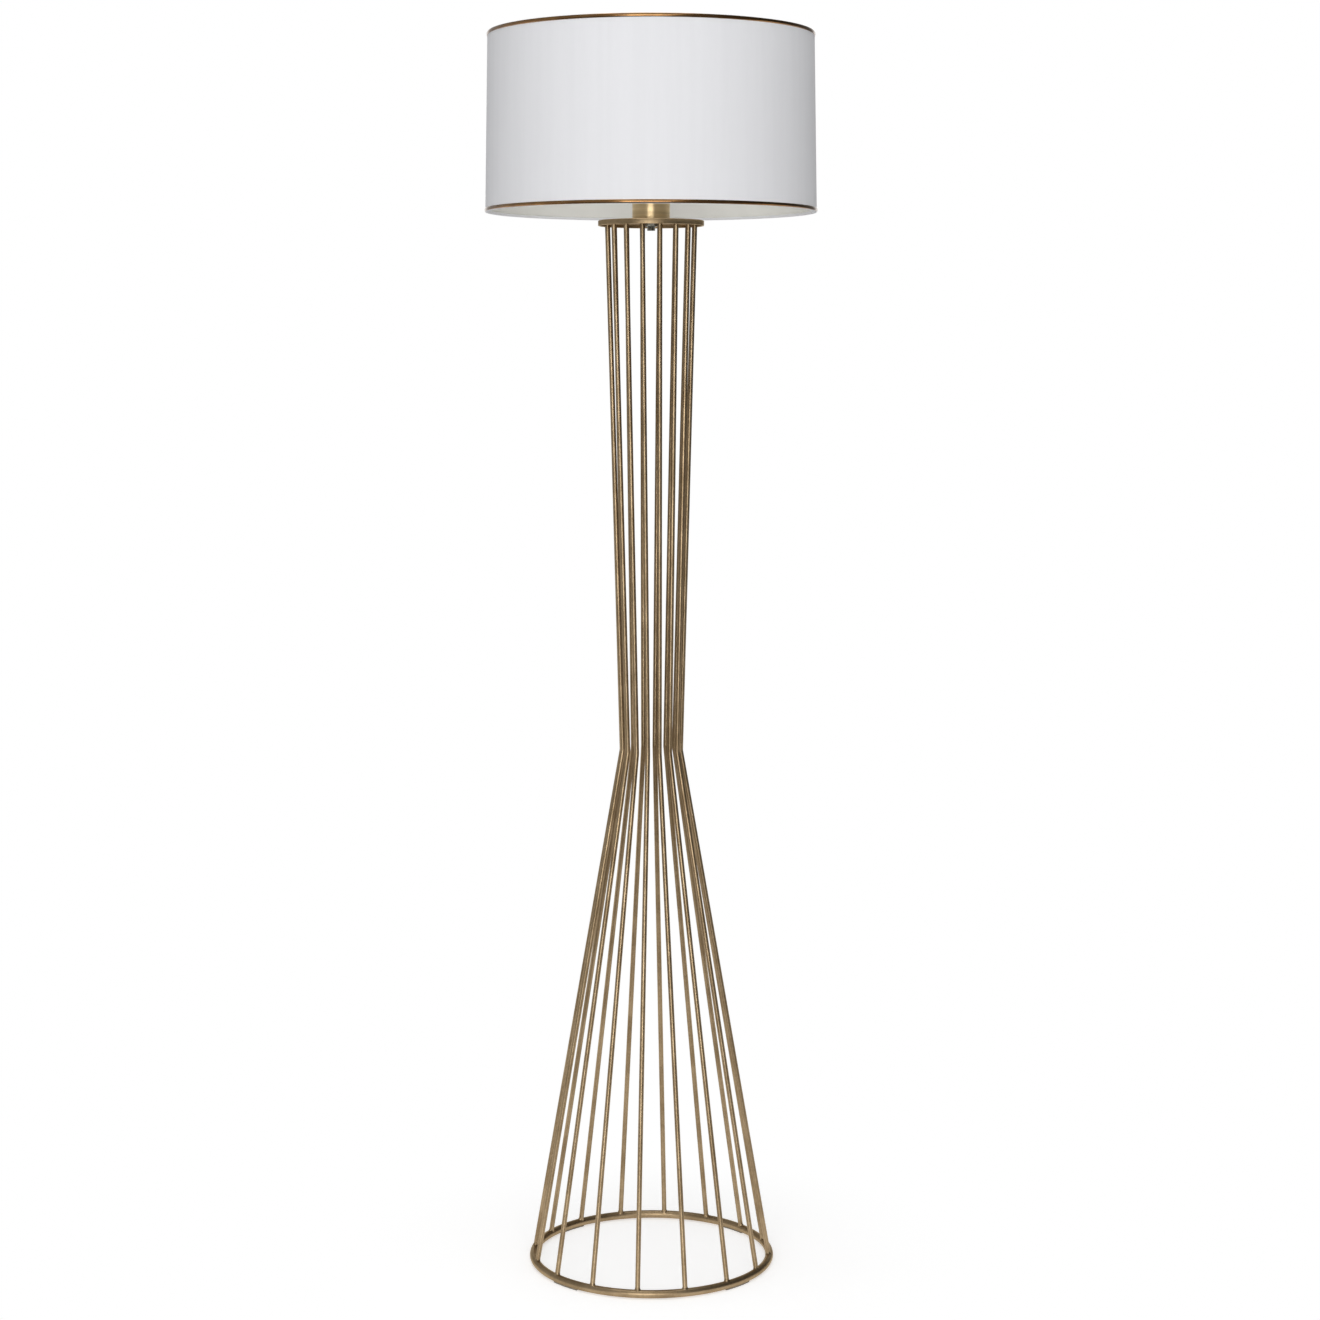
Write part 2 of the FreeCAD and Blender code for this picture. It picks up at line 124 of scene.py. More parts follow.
class LampHolder(bpy.types.PropertyGroup):
    """Sizes of the lampholder, its cup and the parts under the cap."""
    hole_clearance: size("Hole clearance", "Room round the threaded tube", 0.25)
    tube_bore: size("Tube bore", "Bore that the cord passes through", 8.0)
    tube_pitch: size("Tube pitch", "Pitch of the tube's thread", 1.0)
    tube_thread: size("Tube thread depth", "Depth of the tube's thread", 0.5)
    nut_across_flats: size("Nut across flats", "Width of the hexagon nut", 14.0)
    cup_wall: size("Cup wall", "Thickness of the socket cup", 1.0)
    cup_corner: size("Cup corner", "Rounding of the cup's lower edge", 0.8)
    skirt_bore: size("Skirt bore", "Bore of the lampholder's skirt", 30.4)
    skirt_pitch: size("Skirt pitch", "Pitch of the thread that the shade rings run on", 2.5)
    skirt_thread: size("Skirt thread depth", "Depth of that thread", 0.8)
    skirt_lip: size("Skirt lip", "Height of the plain lip at the skirt's mouth", 2.0)
    skirt_lip_inset: size("Skirt lip inset", "Step from the thread in to the lip", 1.2)
    ring_flange: size("Ring flange", "Thickness of a shade ring's flange", 2.5)
    ring_neck_radius: size("Ring neck radius", "Outer radius of a shade ring's neck", 23.5)
    grip_count: IntProperty(name="Grips", description="Finger grips round a shade ring", default=16, min=3)
    grip_depth: size("Grip depth", "How deep a finger grip is", 0.7)
    shell_wall: size("Shell wall", "Thickness of the screw shell", 0.35)
    lamp_pitch: size("Lamp thread pitch", "Pitch of the bulb's thread", 3.63)


class LampShade(bpy.types.PropertyGroup):
    """Sizes of the drum shade and its wire frame."""
    drum_wall: size("Drum wall", "Thickness of the laminated skin", 1.0)
    hem_thickness: size("Hem thickness", "Thickness of the skin folded under the rim", 0.5)
    hem_height: size("Hem height", "How far the fold climbs inside the hoop", 3.0)
    hem_ripple: size("Hem ripple", "Unevenness of the fold's cut edge", 0.3)
    hoop_diameter: size("Hoop wire", "Thickness of the hoop in each rim", 3.0)
    fit: size("Fit", "Gap between the skin, the hoop and the fold", 0.1)
    trim_height: size("Edging height", "Height of the gold edging", 4.2)
    trim_from_rim: size("Edging from rim", "Distance of the edging from the rim", 0.3)
    trim_edge: size("Edging side", "Thickness of the edging at its sides", 0.35)
    seam_width: size("Seam width", "Width of the skin's lap at the back", 12.0)
    seam_thickness: size("Seam thickness", "Thickness of the lap", 0.3)
    arm_diameter: size("Arm wire", "Thickness of the arms between hub and hoop", 4.0)
    arm_flat_length: size("Arm flat", "Level run of an arm next to the hub", 34.0)
    arm_end_length: size("Arm end", "Level run of an arm on the hoop", 9.0)
    arm_bend_radius: size("Arm bend", "Radius of an arm's bends", 16.0)
    thread_pitch: size("Weave pitch", "Distance between two threads of the fabric", 0.42)


class LampBulb(bpy.types.PropertyGroup):
    """Sizes of the opal bulb."""
    neck_radius: size("Neck radius", "Radius of the glass where it leaves the cap", 14.5)
    neck_height: size("Neck height", "Height of the straight neck", 5.0)
    flare_angle: angle("Flare angle", "Where the neck's flare meets the ball, from its middle", -28.0)
    glass_wall: size("Glass wall", "Thickness of the glass", 0.9)
    cap_wall: size("Cap wall", "Thickness of the metal cap", 0.4)
    cap_shoulder: size("Cap shoulder", "Rounding at the cap's foot", 1.2)
    cap_thread: size("Cap thread depth", "Depth of the cap's thread", 0.7)


def tones(name, description, lit, dark):
    """A finish's lit tone and its worn or shaded one."""
    return colour(name, description, lit), colour(name + ", dark", description + ", worn or shaded", dark)


TONES = {
    "gold": tones("Antique gold", "Cage finish", (0.430, 0.318, 0.192), (0.300, 0.214, 0.122)),
    "brass": tones("Brushed brass", "Socket cup", (0.86, 0.67, 0.40), (0.70, 0.53, 0.30)),
    "edging": tones("Edging", "Metallised edging of the shade", (0.36, 0.19, 0.066), (0.24, 0.118, 0.036)),
    "fabric": tones("Fabric", "Outside of the shade", (0.880, 0.883, 0.910), (0.862, 0.865, 0.892)),
    "liner": tones("Liner", "Inside of the shade", (0.915, 0.91, 0.87), (0.885, 0.88, 0.84)),
    "enamel": tones("White enamel", "Wire frame of the shade", (0.76, 0.75, 0.71), (0.66, 0.65, 0.61)),
    "zinc": tones("Zinc", "Tube, nut and washer", (0.42, 0.42, 0.38), (0.16, 0.16, 0.14)),
    "plastic": tones("Black plastic", "Lampholder and rings", (0.028, 0.028, 0.03), (0.014, 0.014, 0.015)),
    "ceramic": tones("Ceramic", "Contact block", (0.78, 0.76, 0.70), (0.70, 0.67, 0.60)),
    "contact": tones("Contact brass", "Shell and centre contact", (0.62, 0.44, 0.18), (0.40, 0.26, 0.09)),
    "cap": tones("Bulb cap", "Metal cap of the bulb", (0.64, 0.64, 0.63), (0.42, 0.42, 0.41)),
    "vitrite": tones("Insulator", "Glass under the bulb's cap", (0.018, 0.018, 0.024), (0.008, 0.008, 0.011)),
    "opal": tones("Opal glass", "Bulb", (0.87, 0.87, 0.85), (0.83, 0.83, 0.81)),
    "felt": tones("Felt", "Glides under the ring", (0.38, 0.34, 0.29), (0.24, 0.21, 0.17)),
}


class LampColours(bpy.types.PropertyGroup):
    """Finishes, each with a lit and a worn or shaded tone."""
    floor: colour("Floor", "Pale studio floor", (0.80, 0.80, 0.80))


for tone, (lit, dark) in TONES.items():
    LampColours.__annotations__[tone] = lit
    LampColours.__annotations__[tone + "_dark"] = dark


class LampStudio(bpy.types.PropertyGroup):
    """Camera and light of the studio."""
    camera_place: place("Camera", "Where the camera stands", (0.0, -3.193, 1.1312))
    camera_pitch: angle("Camera pitch", "How far the camera looks down", 6.681)
    camera_yaw: angle("Camera yaw", "How far the camera looks towards +X", 0.192)
    camera_lens: amount("Lens", "Focal length in millimetres on a 36 mm sensor", 71.47)
    key_place: place("Key light", "Middle of the big soft light", (-0.12, -2.9, 2.45))
    key_width: length("Key width", "Width of the big soft light", 2.4)
    key_height: length("Key height", "Height of the big soft light", 1.8)
    key_tilt: angle("Key tilt", "How far the big soft light faces down", 20.0)
    key_power: amount("Key power", "Power of the big soft light, in watts", 16.0)
    strip_place: place("Strip light", "Middle of the upright light behind the camera", (-0.28, -3.7, 0.6))
    strip_width: length("Strip width", "Width of the upright light", 2.2)
    strip_height: length("Strip height", "Height of the upright light", 1.6)
    strip_power: amount("Strip power", "Power of the upright light, in watts", 46.0)
    overhead_place: place("Overhead light", "Middle of the light above the lamp", (-0.1, -0.2, 3.1))
    overhead_side: length("Overhead side", "Side of the light above the lamp", 1.4)
    overhead_power: amount("Overhead power", "Power of the light above the lamp, in watts", 16.0)
    ambient: amount("Ambient", "Light from all round on plain surfaces", 0.38)
    room_front: amount("Room in reflections", "What metal reflects beside the lights", 0.24)
    room_slope: amount("Left to right fall", "How much brighter the room is on the left", 0.20)
    floor_glow: amount("Floor glow", "Light added where the floor is seen, so that it reads as white", 0.51)
    # Painted reflection: the dim brightness that metal reflects of the floor in front, in place of the lit
    # floor.
    painted_front_reflection: amount("Front floor", "What metal reflects of the floor in front of the picture", 0.14)
    front_start: amount("Front start", "How far in front of the lamp that floor starts, in metres", 0.45)
    front_end: amount("Front end", "How far in front of the lamp it is fully dim, in metres", 0.9)
    floor_radius: length("Floor radius", "Radius of the studio floor", 6.0)
    fade_start: length("Fade start", "Where the floor starts to pass into plain white", 0.19)
    fade_end: length("Fade end", "Where the floor is plain white", 0.42)


# ---- places read from the frame ----

def low(node):
    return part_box(node)[0]


def high(node):
    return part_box(node)[1]


def span(node):
    """The lowest and the highest level of a node."""
    near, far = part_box(node)
    return near.z, far.z


def reach(node):
    """The largest radius that stays inside a round node's box on all four sides."""
    near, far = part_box(node)
    return min(-near.x, -near.y, far.x, far.y)


def polar(radius, degrees, level):
    turn = math.radians(degrees)
    return Vector((radius * math.cos(turn), radius * math.sin(turn), level))


# ---- mesh building ----

def rounded(corners, steps=4):
    """Points of a closed outline from corners (radius, level, fillet), with every fillet as an arc."""
    outline = []
    for index, (radius, level, fillet) in enumerate(corners):
        here = Vector((radius, level))
        if fillet == 0:
            outline.append((radius, level))
            continue
        to_before = (Vector(corners[index - 1][:2]) - here).normalized()
        to_after = (Vector(corners[(index + 1) % len(corners)][:2]) - here).normalized()
        half = to_before.angle(to_after) / 2
        centre = here + (to_before + to_after).normalized() * (fillet / math.sin(half))
        spoke = here + to_before * (fillet / math.tan(half)) - centre
        last = here + to_after * (fillet / math.tan(half)) - centre
        first_angle = math.atan2(spoke.y, spoke.x)
        sweep = (math.atan2(last.y, last.x) - first_angle + math.pi) % math.tau - math.pi
        for step in range(steps + 1):
            turn = first_angle + sweep * step / steps
            outline.append((centre.x + fillet * math.cos(turn), centre.y + fillet * math.sin(turn)))
    return outline


def circle(radius, level, wire_radius, steps):
    """The section of a round wire hoop."""
    turns = [math.tau * step / steps for step in range(steps)]
    return [(radius + wire_radius * math.cos(turn), level + wire_radius * math.sin(turn)) for turn in turns]


def levels(start, end, step):
    """Evenly spaced levels from start to end, both included."""
    count = max(1, round(abs(end - start) / step))
    return [start + (end - start) * index / count for index in range(count + 1)]


def grid_faces(rows, across, closed):
    """Faces between rows of points. A row closes on itself. closed joins the last row to the first."""
    faces = []
    for row in range(rows if closed else rows - 1):
        after = (row + 1) % rows
        for step in range(across):
            following = (step + 1) % across
            faces.append((
                row * across + step,
                row * across + following,
                after * across + following,
                after * across + step,
            ))
    return faces


def lathe(outline, segments, shape=None, sweep=math.tau, start=0.0):
    """Points and faces of a closed outline turned about the axis. shape moves a point by its angle."""
    whole = sweep >= math.tau
    columns = segments if whole else segments + 1
    rows = len(outline)
    points = []
    for column in range(columns):
        turn = start + sweep * column / segments
        for radius, level in outline:
            if shape:
                radius, level = shape(radius, level, turn)
            points.append((radius * math.cos(turn), radius * math.sin(turn), level))
    faces = grid_faces(columns, rows, whole)
    if not whole:
        faces.append(tuple(range(rows)))
        faces.append(tuple(segments * rows + row for row in reversed(range(rows))))
    return points, faces


def bent_path(corners, bend_radius, run_step, arc_steps):
    """Stations (point, direction) along straight runs joined by tangent arcs."""
    stations = []

    def add_run(start, end, direction):
        count = max(1, round((end - start).length / run_step))
        for index in range(count):
            stations.append((start.lerp(end, index / count), direction))

    here = corners[0]
    for corner, after in zip(corners[1:-1], corners[2:]):
        arriving = (corner - here).normalized()
        leaving = (after - corner).normalized()
        turn = arriving.angle(leaving)
        setback = bend_radius * math.tan(turn / 2)
        start = corner - arriving * setback
        add_run(here, start, arriving)
        centre = corner + (leaving - arriving).normalized() * (bend_radius / math.cos(turn / 2))
        axle = arriving.cross(leaving).normalized()
        for step in range(arc_steps):
            swing = Matrix.Rotation(turn * step / arc_steps, 3, axle)
            stations.append((centre + swing @ (start - centre), swing @ arriving))
        here = corner + leaving * setback
    direction = (corners[-1] - here).normalized()
    add_run(here, corners[-1], direction)
    stations.append((corners[-1], direction))
    return stations


def spokes(direction, side, radius, segments):
    """Offsets round a bar's section, from its direction and one crosswise vector."""
    other = direction.cross(side).normalized()
    turns = [math.tau * step / segments for step in range(segments)]
    return [side * (radius * math.cos(turn)) + other * (radius * math.sin(turn)) for turn in turns]


def tube(stations, side, radius, segments, start_cut=None, end_cut=None):
    """Points and faces of a round bar with closed ends. A cut moves an end's points along the bar."""
    points = []
    for index, (point, direction) in enumerate(stations):
        for offset in spokes(direction, side, radius, segments):
            spot = point + offset
            if index == 0 and start_cut:
                spot = start_cut(spot, direction)
            if index == len(stations) - 1 and end_cut:
                spot = end_cut(spot, direction)
            points.append(spot)
    faces = grid_faces(len(stations), segments, closed=False)
    last = (len(stations) - 1) * segments
    faces.append(tuple(reversed(range(segments))))
    faces.append(tuple(range(last, last + segments)))
    return points, faces


def make_piece(name, parts, body, slot, nodes, crease=CREASE):
    """One smooth object from parts (points, faces), with the finish that slot names."""
    work = bmesh.new()
    for points, faces in parts:
        made = [work.verts.new(point) for point in points]
        for face in faces:
            work.faces.new([made[index] for index in face])
    bmesh.ops.remove_doubles(work, verts=work.verts, dist=MERGE_DISTANCE)
    bmesh.ops.recalc_face_normals(work, faces=work.faces)
    mesh = bpy.data.meshes.new(name)
    work.to_mesh(mesh)
    work.free()
    mesh.shade_smooth()
    mesh.set_sharp_from_angle(angle=math.radians(crease))
    mesh.materials.append(finish(slot))
    piece = bpy.data.objects.new(name, mesh)
    bpy.context.scene.collection.objects.link(piece)
    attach(piece, body)
    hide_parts(*nodes)
    return piece


def turn_piece(name, outline, segments, body, slot, node, shape=None, crease=CREASE):
    """One lathed piece that stands for one CAD node."""
    return make_piece(name, [lathe(outline, segments, shape)], body, slot, [node], crease)


def dress(node, finish_name):
    """Gives a CAD node that stays in view its finish."""
    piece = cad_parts[node]
    piece.data.materials.clear()
    piece.data.materials.append(finish(finish_name))


# ---- shader building ----

def add(tree, kind, **settings):
    made = tree.nodes.new(kind)
    for key, value in settings.items():
        setattr(made, key, value)
    return made


def feed(socket, value):
    """Sets a socket, or links it where the value is another socket."""
    if isinstance(value, bpy.types.NodeSocket):
        socket.id_data.links.new(value, socket)
    else:
        socket.default_value = value


def calculate(tree, operation, *values):
    made = add(tree, "ShaderNodeMath", operation=operation)
    for socket, value in zip(made.inputs, values):
        feed(socket, value)
    return made.outputs[0]


def product(tree, first, second):
    return calculate(tree, "MULTIPLY", first, second)


def remap(tree, value, from_low, from_high, to_low=0.0, to_high=1.0, smooth=False):
    made = add(tree, "ShaderNodeMapRange", interpolation_type="SMOOTHSTEP" if smooth else "LINEAR")
    for socket, number in zip(made.inputs, (value, from_low, from_high, to_low, to_high)):
        feed(socket, number)
    return made.outputs[0]


def blend_colours(tree, share, first, second):
    made = add(tree, "ShaderNodeMix", data_type="RGBA")
    feed(made.inputs[0], share)
    feed(made.inputs[6], first)
    feed(made.inputs[7], second)
    return made.outputs[2]


def noise(tree, vector, scale, detail, roughness=0.5):
    made = add(tree, "ShaderNodeTexNoise")
    feed(made.inputs["Vector"], vector)
    feed(made.inputs["Scale"], scale)
    feed(made.inputs["Detail"], detail)
    feed(made.inputs["Roughness"], roughness)
    return made.outputs["Fac"]


def stretched(tree, stretch):
    """Object coordinates in metres, multiplied by a stretch along each axis."""
    coordinates = add(tree, "ShaderNodeTexCoord").outputs["Object"]
    made = add(tree, "ShaderNodeVectorMath", operation="MULTIPLY")
    feed(made.inputs[0], coordinates)
    feed(made.inputs[1], stretch)
    return made.outputs[0]


def effect(name, inputs, outputs, build):
    """A shared node group, built once. inputs and outputs are (name, socket type, default)."""
    tree = bpy.data.node_groups.get(name)
    if tree:
        return tree
    tree = bpy.data.node_groups.new(name, "ShaderNodeTree")
    for socket_name, kind, default in inputs:
        socket = tree.interface.new_socket(socket_name, in_out="INPUT", socket_type=kind)
        socket.default_value = default
    for socket_name, kind in outputs:
        tree.interface.new_socket(socket_name, in_out="OUTPUT", socket_type=kind)
    entry = add(tree, "NodeGroupInput")
    leave = add(tree, "NodeGroupOutput")
    for socket_name, value in build(tree, entry.outputs).items():
        feed(leave.inputs[socket_name], value)
    return tree


FLOAT = "NodeSocketFloat"
COLOUR = "NodeSocketColor"
VECTOR = "NodeSocketVector"
EVEN = (1.0, 1.0, 1.0)


def patina():
    """Soft clouds between two tones, broken up by a finer noise."""
    def build(tree, entry):
        spread = stretched(tree, entry["Stretch"])
        clouds = noise(tree, spread, entry["Scale"], 3.0)
        specks = noise(tree, spread, product(tree, entry["Scale"], 14.0), 2.0)
        both = calculate(tree, "ADD", product(tree, clouds, 0.7), product(tree, specks, 0.3))
        mask = remap(tree, both, 0.36, 0.66, smooth=True)
        return {"Colour": blend_colours(tree, mask, entry["Light"], entry["Dark"]), "Mask": mask}

    return effect(
        "patina",
        [
            ("Light", COLOUR, (0.8, 0.8, 0.8, 1.0)),
            ("Dark", COLOUR, (0.4, 0.4, 0.4, 1.0)),
            ("Scale", FLOAT, 30.0),
            ("Stretch", VECTOR, EVEN),
        ],
        [("Colour", COLOUR), ("Mask", FLOAT)],
        build,
    )


def handling():
    """Roughness that wanders between two values, as touched and rubbed surfaces do."""
    def build(tree, entry):
        spread = stretched(tree, entry["Stretch"])
        wide = noise(tree, spread, entry["Scale"], 4.0, 0.6)
        return {"Roughness": remap(tree, wide, 0.3, 0.7, entry["Low"], entry["High"])}

    return effect(
        "handling",
        [("Low", FLOAT, 0.3), ("High", FLOAT, 0.5), ("Scale", FLOAT, 40.0), ("Stretch", VECTOR, EVEN)],
        [("Roughness", FLOAT)],
        build,
    )


def grain():
    """Fine surface relief. Stretch draws it out into brush or draw lines."""
    def build(tree, entry):
        spread = stretched(tree, entry["Stretch"])
        coarse = noise(tree, spread, entry["Scale"], 2.0)
        fine = noise(tree, spread, product(tree, entry["Scale"], 4.0), 2.0)
        return {"Height": calculate(tree, "ADD", coarse, product(tree, fine, 0.35))}

    return effect(
        "grain",
        [("Scale", FLOAT, 800.0), ("Stretch", VECTOR, EVEN)],
        [("Height", FLOAT)],
        build,
    )


def weave():
    """A plain weave round the shade: threads over and under each other, with uneven thickness."""
    def build(tree, entry):
        coordinates = add(tree, "ShaderNodeTexCoord").outputs["Object"]
        parts = add(tree, "ShaderNodeSeparateXYZ")
        feed(parts.inputs[0], coordinates)
        turn = calculate(tree, "ARCTAN2", parts.outputs["Y"], parts.outputs["X"])
        around = product(tree, turn, product(tree, entry["Threads Around"], 0.5))
        upward = product(tree, parts.outputs["Z"], calculate(tree, "DIVIDE", math.pi, entry["Pitch"]))
        warp = calculate(tree, "ABSOLUTE", calculate(tree, "SINE", around))
        weft = calculate(tree, "ABSOLUTE", calculate(tree, "SINE", upward))
        crossing = product(tree, calculate(tree, "COSINE", around), calculate(tree, "COSINE", upward))
        over = calculate(tree, "MULTIPLY_ADD", crossing, 0.5, 0.5)
        mixed = product(tree, warp, over)
        rest = product(tree, weft, calculate(tree, "SUBTRACT", 1.0, over))
        slub = noise(tree, stretched(tree, (1.0, 1.0, 0.04)), 500.0, 2.0)
        height = product(tree, calculate(tree, "ADD", mixed, rest), remap(tree, slub, 0.3, 0.7, 0.7, 1.0))
        return {"Height": height, "Mask": calculate(tree, "SUBTRACT", 1.0, height)}

    return effect(
        "weave",
        [("Threads Around", FLOAT, 2970.0), ("Pitch", FLOAT, 0.00042)],
        [("Height", FLOAT), ("Mask", FLOAT)],
        build,
    )


def place_group(tree, group, **values):
    made = add(tree, "ShaderNodeGroup")
    made.node_tree = group
    for name, value in values.items():
        feed(made.inputs[name], value)
    return made.outputs


def solid(rgb):
    return (*rgb, 1.0)


def new_surface(name, plain):
    """An empty material with its shader. plain holds the shader's own uniform values."""
    material = bpy.data.materials.new(name + FINISHED)
    material.use_nodes = True
    tree = material.node_tree
    tree.nodes.clear()
    shader = add(tree, "ShaderNodeBsdfPrincipled")
    output = add(tree, "ShaderNodeOutputMaterial")
    feed(output.inputs["Surface"], shader.outputs["BSDF"])
    for socket_name, value in plain.items():
        shader.inputs[socket_name].default_value = value
    return material, tree, shader


def emboss(tree, shader, height, strength, distance):
    relief = add(tree, "ShaderNodeBump")
    relief.inputs["Strength"].default_value = strength
    relief.inputs["Distance"].default_value = distance
    feed(relief.inputs["Height"], height)
    feed(shader.inputs["Normal"], relief.outputs["Normal"])


METAL = {"Metallic": 1.0}
GOLD_METAL = {**METAL, "Specular Tint": (0.92, 0.84, 0.70, 1.0)}
BRUSHED_METAL = {**METAL, "Anisotropic": 0.7, "Anisotropic Rotation": 0.25}
LACQUERED_METAL = {**METAL, "Coat Weight": 0.6, "Coat Roughness": 0.12}
GLAZE = {"Coat Weight": 0.4, "Coat Roughness": 0.08}
UPRIGHT = (1.0, 1.0, 0.04)
ROUND_THE_AXIS = (0.03, 0.03, 1.0)


def plain_finish(name, tone, low, high, clouds, grains, relief, stretch=EVEN, plain=None):
    """Clouded colour from a tone's two colours, roughness that wanders from low to high, and fine relief."""
    colours = bpy.context.scene.lamp_colours
    material, tree, shader = new_surface(name, plain or {})
    lit, dark = solid(getattr(colours, tone)), solid(getattr(colours, tone + "_dark"))
    clouded = place_group(tree, patina(), Light=lit, Dark=dark, Scale=clouds, Stretch=stretch)
    feed(shader.inputs["Base Color"], clouded["Colour"])
    rubbed = place_group(tree, handling(), Low=low, High=high, Scale=clouds, Stretch=stretch)
    feed(shader.inputs["Roughness"], rubbed["Roughness"])
    relieved = place_group(tree, grain(), Scale=grains, Stretch=stretch)
    emboss(tree, shader, relieved["Height"], relief, RELIEF_DEPTH)
    if stretch == ROUND_THE_AXIS:
        around = add(tree, "ShaderNodeTangent", direction_type="RADIAL", axis="Z")
        feed(shader.inputs["Tangent"], around.outputs[0])
    return material


PLAIN_FINISHES = {
    "antique_gold": dict(
        tone="gold", low=0.33, high=0.43, clouds=26, grains=1100, relief=0.22, plain=GOLD_METAL
    ),
    "brushed_brass": dict(
        tone="brass", low=0.30, high=0.38, clouds=260, grains=900, relief=0.10,
        stretch=ROUND_THE_AXIS, plain=BRUSHED_METAL,
    ),
    "gold_edging": dict(
        tone="edging", low=0.16, high=0.26, clouds=60, grains=900, relief=0.25, plain=LACQUERED_METAL
    ),
    "shade_liner": dict(tone="liner", low=0.42, high=0.55, clouds=40, grains=1200, relief=0.15),
    "white_wire": dict(tone="enamel", low=0.28, high=0.40, clouds=70, grains=1500, relief=0.25, plain=GLAZE),
    "zinc_steel": dict(tone="zinc", low=0.28, high=0.46, clouds=150, grains=2200, relief=0.45, plain=METAL),
    "black_plastic": dict(tone="plastic", low=0.46, high=0.62, clouds=120, grains=2800, relief=0.5),
    "ceramic_block": dict(
        tone="ceramic", low=0.14, high=0.24, clouds=90, grains=700, relief=0.2, plain=GLAZE
    ),
    "contact_brass": dict(
        tone="contact", low=0.24, high=0.36, clouds=180, grains=2200, relief=0.3, plain=METAL
    ),
    "bulb_metal": dict(tone="cap", low=0.24, high=0.38, clouds=160, grains=2400, relief=0.35, plain=METAL),
    "bulb_black": dict(tone="vitrite", low=0.10, high=0.20, clouds=200, grains=900, relief=0.2, plain=GLAZE),
    "opal_glass": dict(tone="opal", low=0.12, high=0.18, clouds=30, grains=300, relief=0.06, plain=GLAZE),
    "felt": dict(tone="felt", low=0.90, high=1.0, clouds=900, grains=2600, relief=1.0),
}


def make_shade_fabric():
    """White fabric laminated on the drum, with fine upright streaks and a plain weave."""
    scene = bpy.context.scene
    material, tree, shader = new_surface("shade_fabric", {"Sheen Weight": 0.08, "Specular IOR Level": 0.3})
    streaked = place_group(
        tree, patina(), Light=solid(scene.lamp_colours.fabric), Dark=solid(scene.lamp_colours.fabric_dark),
        Scale=100.0, Stretch=UPRIGHT,
    )
    pitch = scene.lamp_shade.thread_pitch
    threads = round(math.tau * reach("shade_drum") / pitch)
    woven = place_group(tree, weave(), Pitch=pitch, **{"Threads Around": float(2 * (threads // 2))})
    gaps = product(tree, woven["Mask"], 0.10)
    feed(
        shader.inputs["Base Color"],
        blend_colours(tree, gaps, streaked["Colour"], solid(scene.lamp_colours.liner_dark)),
    )
    feed(shader.inputs["Roughness"], remap(tree, woven["Mask"], 0.0, 1.0, 0.70, 0.90))
    emboss(tree, shader, woven["Height"], 0.45, 0.06 * MM)
    return material


def finish(name):
    """A finish by its name, made once."""
    ready = bpy.data.materials.get(name + FINISHED)
    if ready:
        return ready
    if name == "shade_fabric":
        return make_shade_fabric()
    return plain_finish(name, **PLAIN_FINISHES[name])


# ---- cage ----

def ring_measures():
    """Radius of the foot ring's middle line, its level and the radius of its bar."""
    near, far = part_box("foot_ring")
    bar_radius = (far.z - near.z) / 2
    return reach("foot_ring") - bar_radius, (near.z + far.z) / 2, bar_radius


def rod_corners(number):
    """Foot, waist and top of a rod. The foot is in the middle of the ring's bar."""
    cage = bpy.context.scene.lamp_cage
    ring_radius, ring_level = RING[:2]
    first = -90.0 + (number + 0.5) * 360.0 / cage.rod_count
    foot = polar(ring_radius, first + math.degrees(cage.foot_turn), ring_level)
    waist = polar(cage.waist_radius, first + math.degrees(cage.waist_turn), cage.waist_height)
    top = polar(cage.rod_top_radius, first, CAP_UNDERSIDE)
    return foot, waist, top


def distance_to_bar(spot, direction):
    """How far along direction a spot inside the foot ring's bar is from the bar's surface."""
    ring_radius, ring_level, bar_radius = RING
    inside, outside = 0.0, 3 * bar_radius
    for halving in range(BISECTIONS):
        middle = (inside + outside) / 2
        here = spot + direction * middle
        across = math.hypot(here.x, here.y) - ring_radius
        if math.hypot(across, here.z - ring_level) < bar_radius:
            inside = middle
        else:
            outside = middle
    return inside


def distance_to_cap(spot, direction):
    return (CAP_UNDERSIDE - spot.z) / direction.z


RING = ring_measures()
CAP_UNDERSIDE = high("lock_washer").z


def cope_foot(spot, direction):
    """Shapes a rod's foot to the bar that it stands on."""
    return spot + direction * (distance_to_bar(spot, direction) - SINK)


def trim_top(spot, direction):
    return spot + direction * (distance_to_cap(spot, direction) + SINK)


class LAMP_OT_foot_ring(bpy.types.Operator):
    """Rolled round bar that the cage stands on, and the glides under it"""
    bl_idname = "lamp.foot_ring"
    bl_label = "Foot ring"

    def execute(self, context):
        ring_radius, ring_level, bar_radius = RING
        section = circle(ring_radius, ring_level, bar_radius, steps=40)
        turn_piece("foot_ring_bar", section, 288, "stand", "antique_gold", "foot_ring")
        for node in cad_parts:
            if node.startswith("foot_glide"):
                dress(node, "felt")
        return {"FINISHED"}


class LAMP_OT_rods(bpy.types.Operator):
    """Sixteen rods, each bent once at the waist"""
    bl_idname = "lamp.rods"
    bl_label = "Cage rods"

    def execute(self, context):
        cage = context.scene.lamp_cage
        for number in range(cage.rod_count):
            foot, waist, top = rod_corners(number)
            stations = bent_path([foot, waist, top], cage.bend_radius, run_step=25 * MM, arc_steps=12)
            side = (waist - foot).cross(top - waist).normalized()
            part = tube(
                stations, side, cage.rod_diameter / 2, segments=24, start_cut=cope_foot, end_cut=trim_top
            )
            make_piece(
                "rod_%02d" % (number + 1), [part], "stand", "antique_gold",
                ["cage_rod_%02d" % (number + 1)],
            )
        return {"FINISHED"}


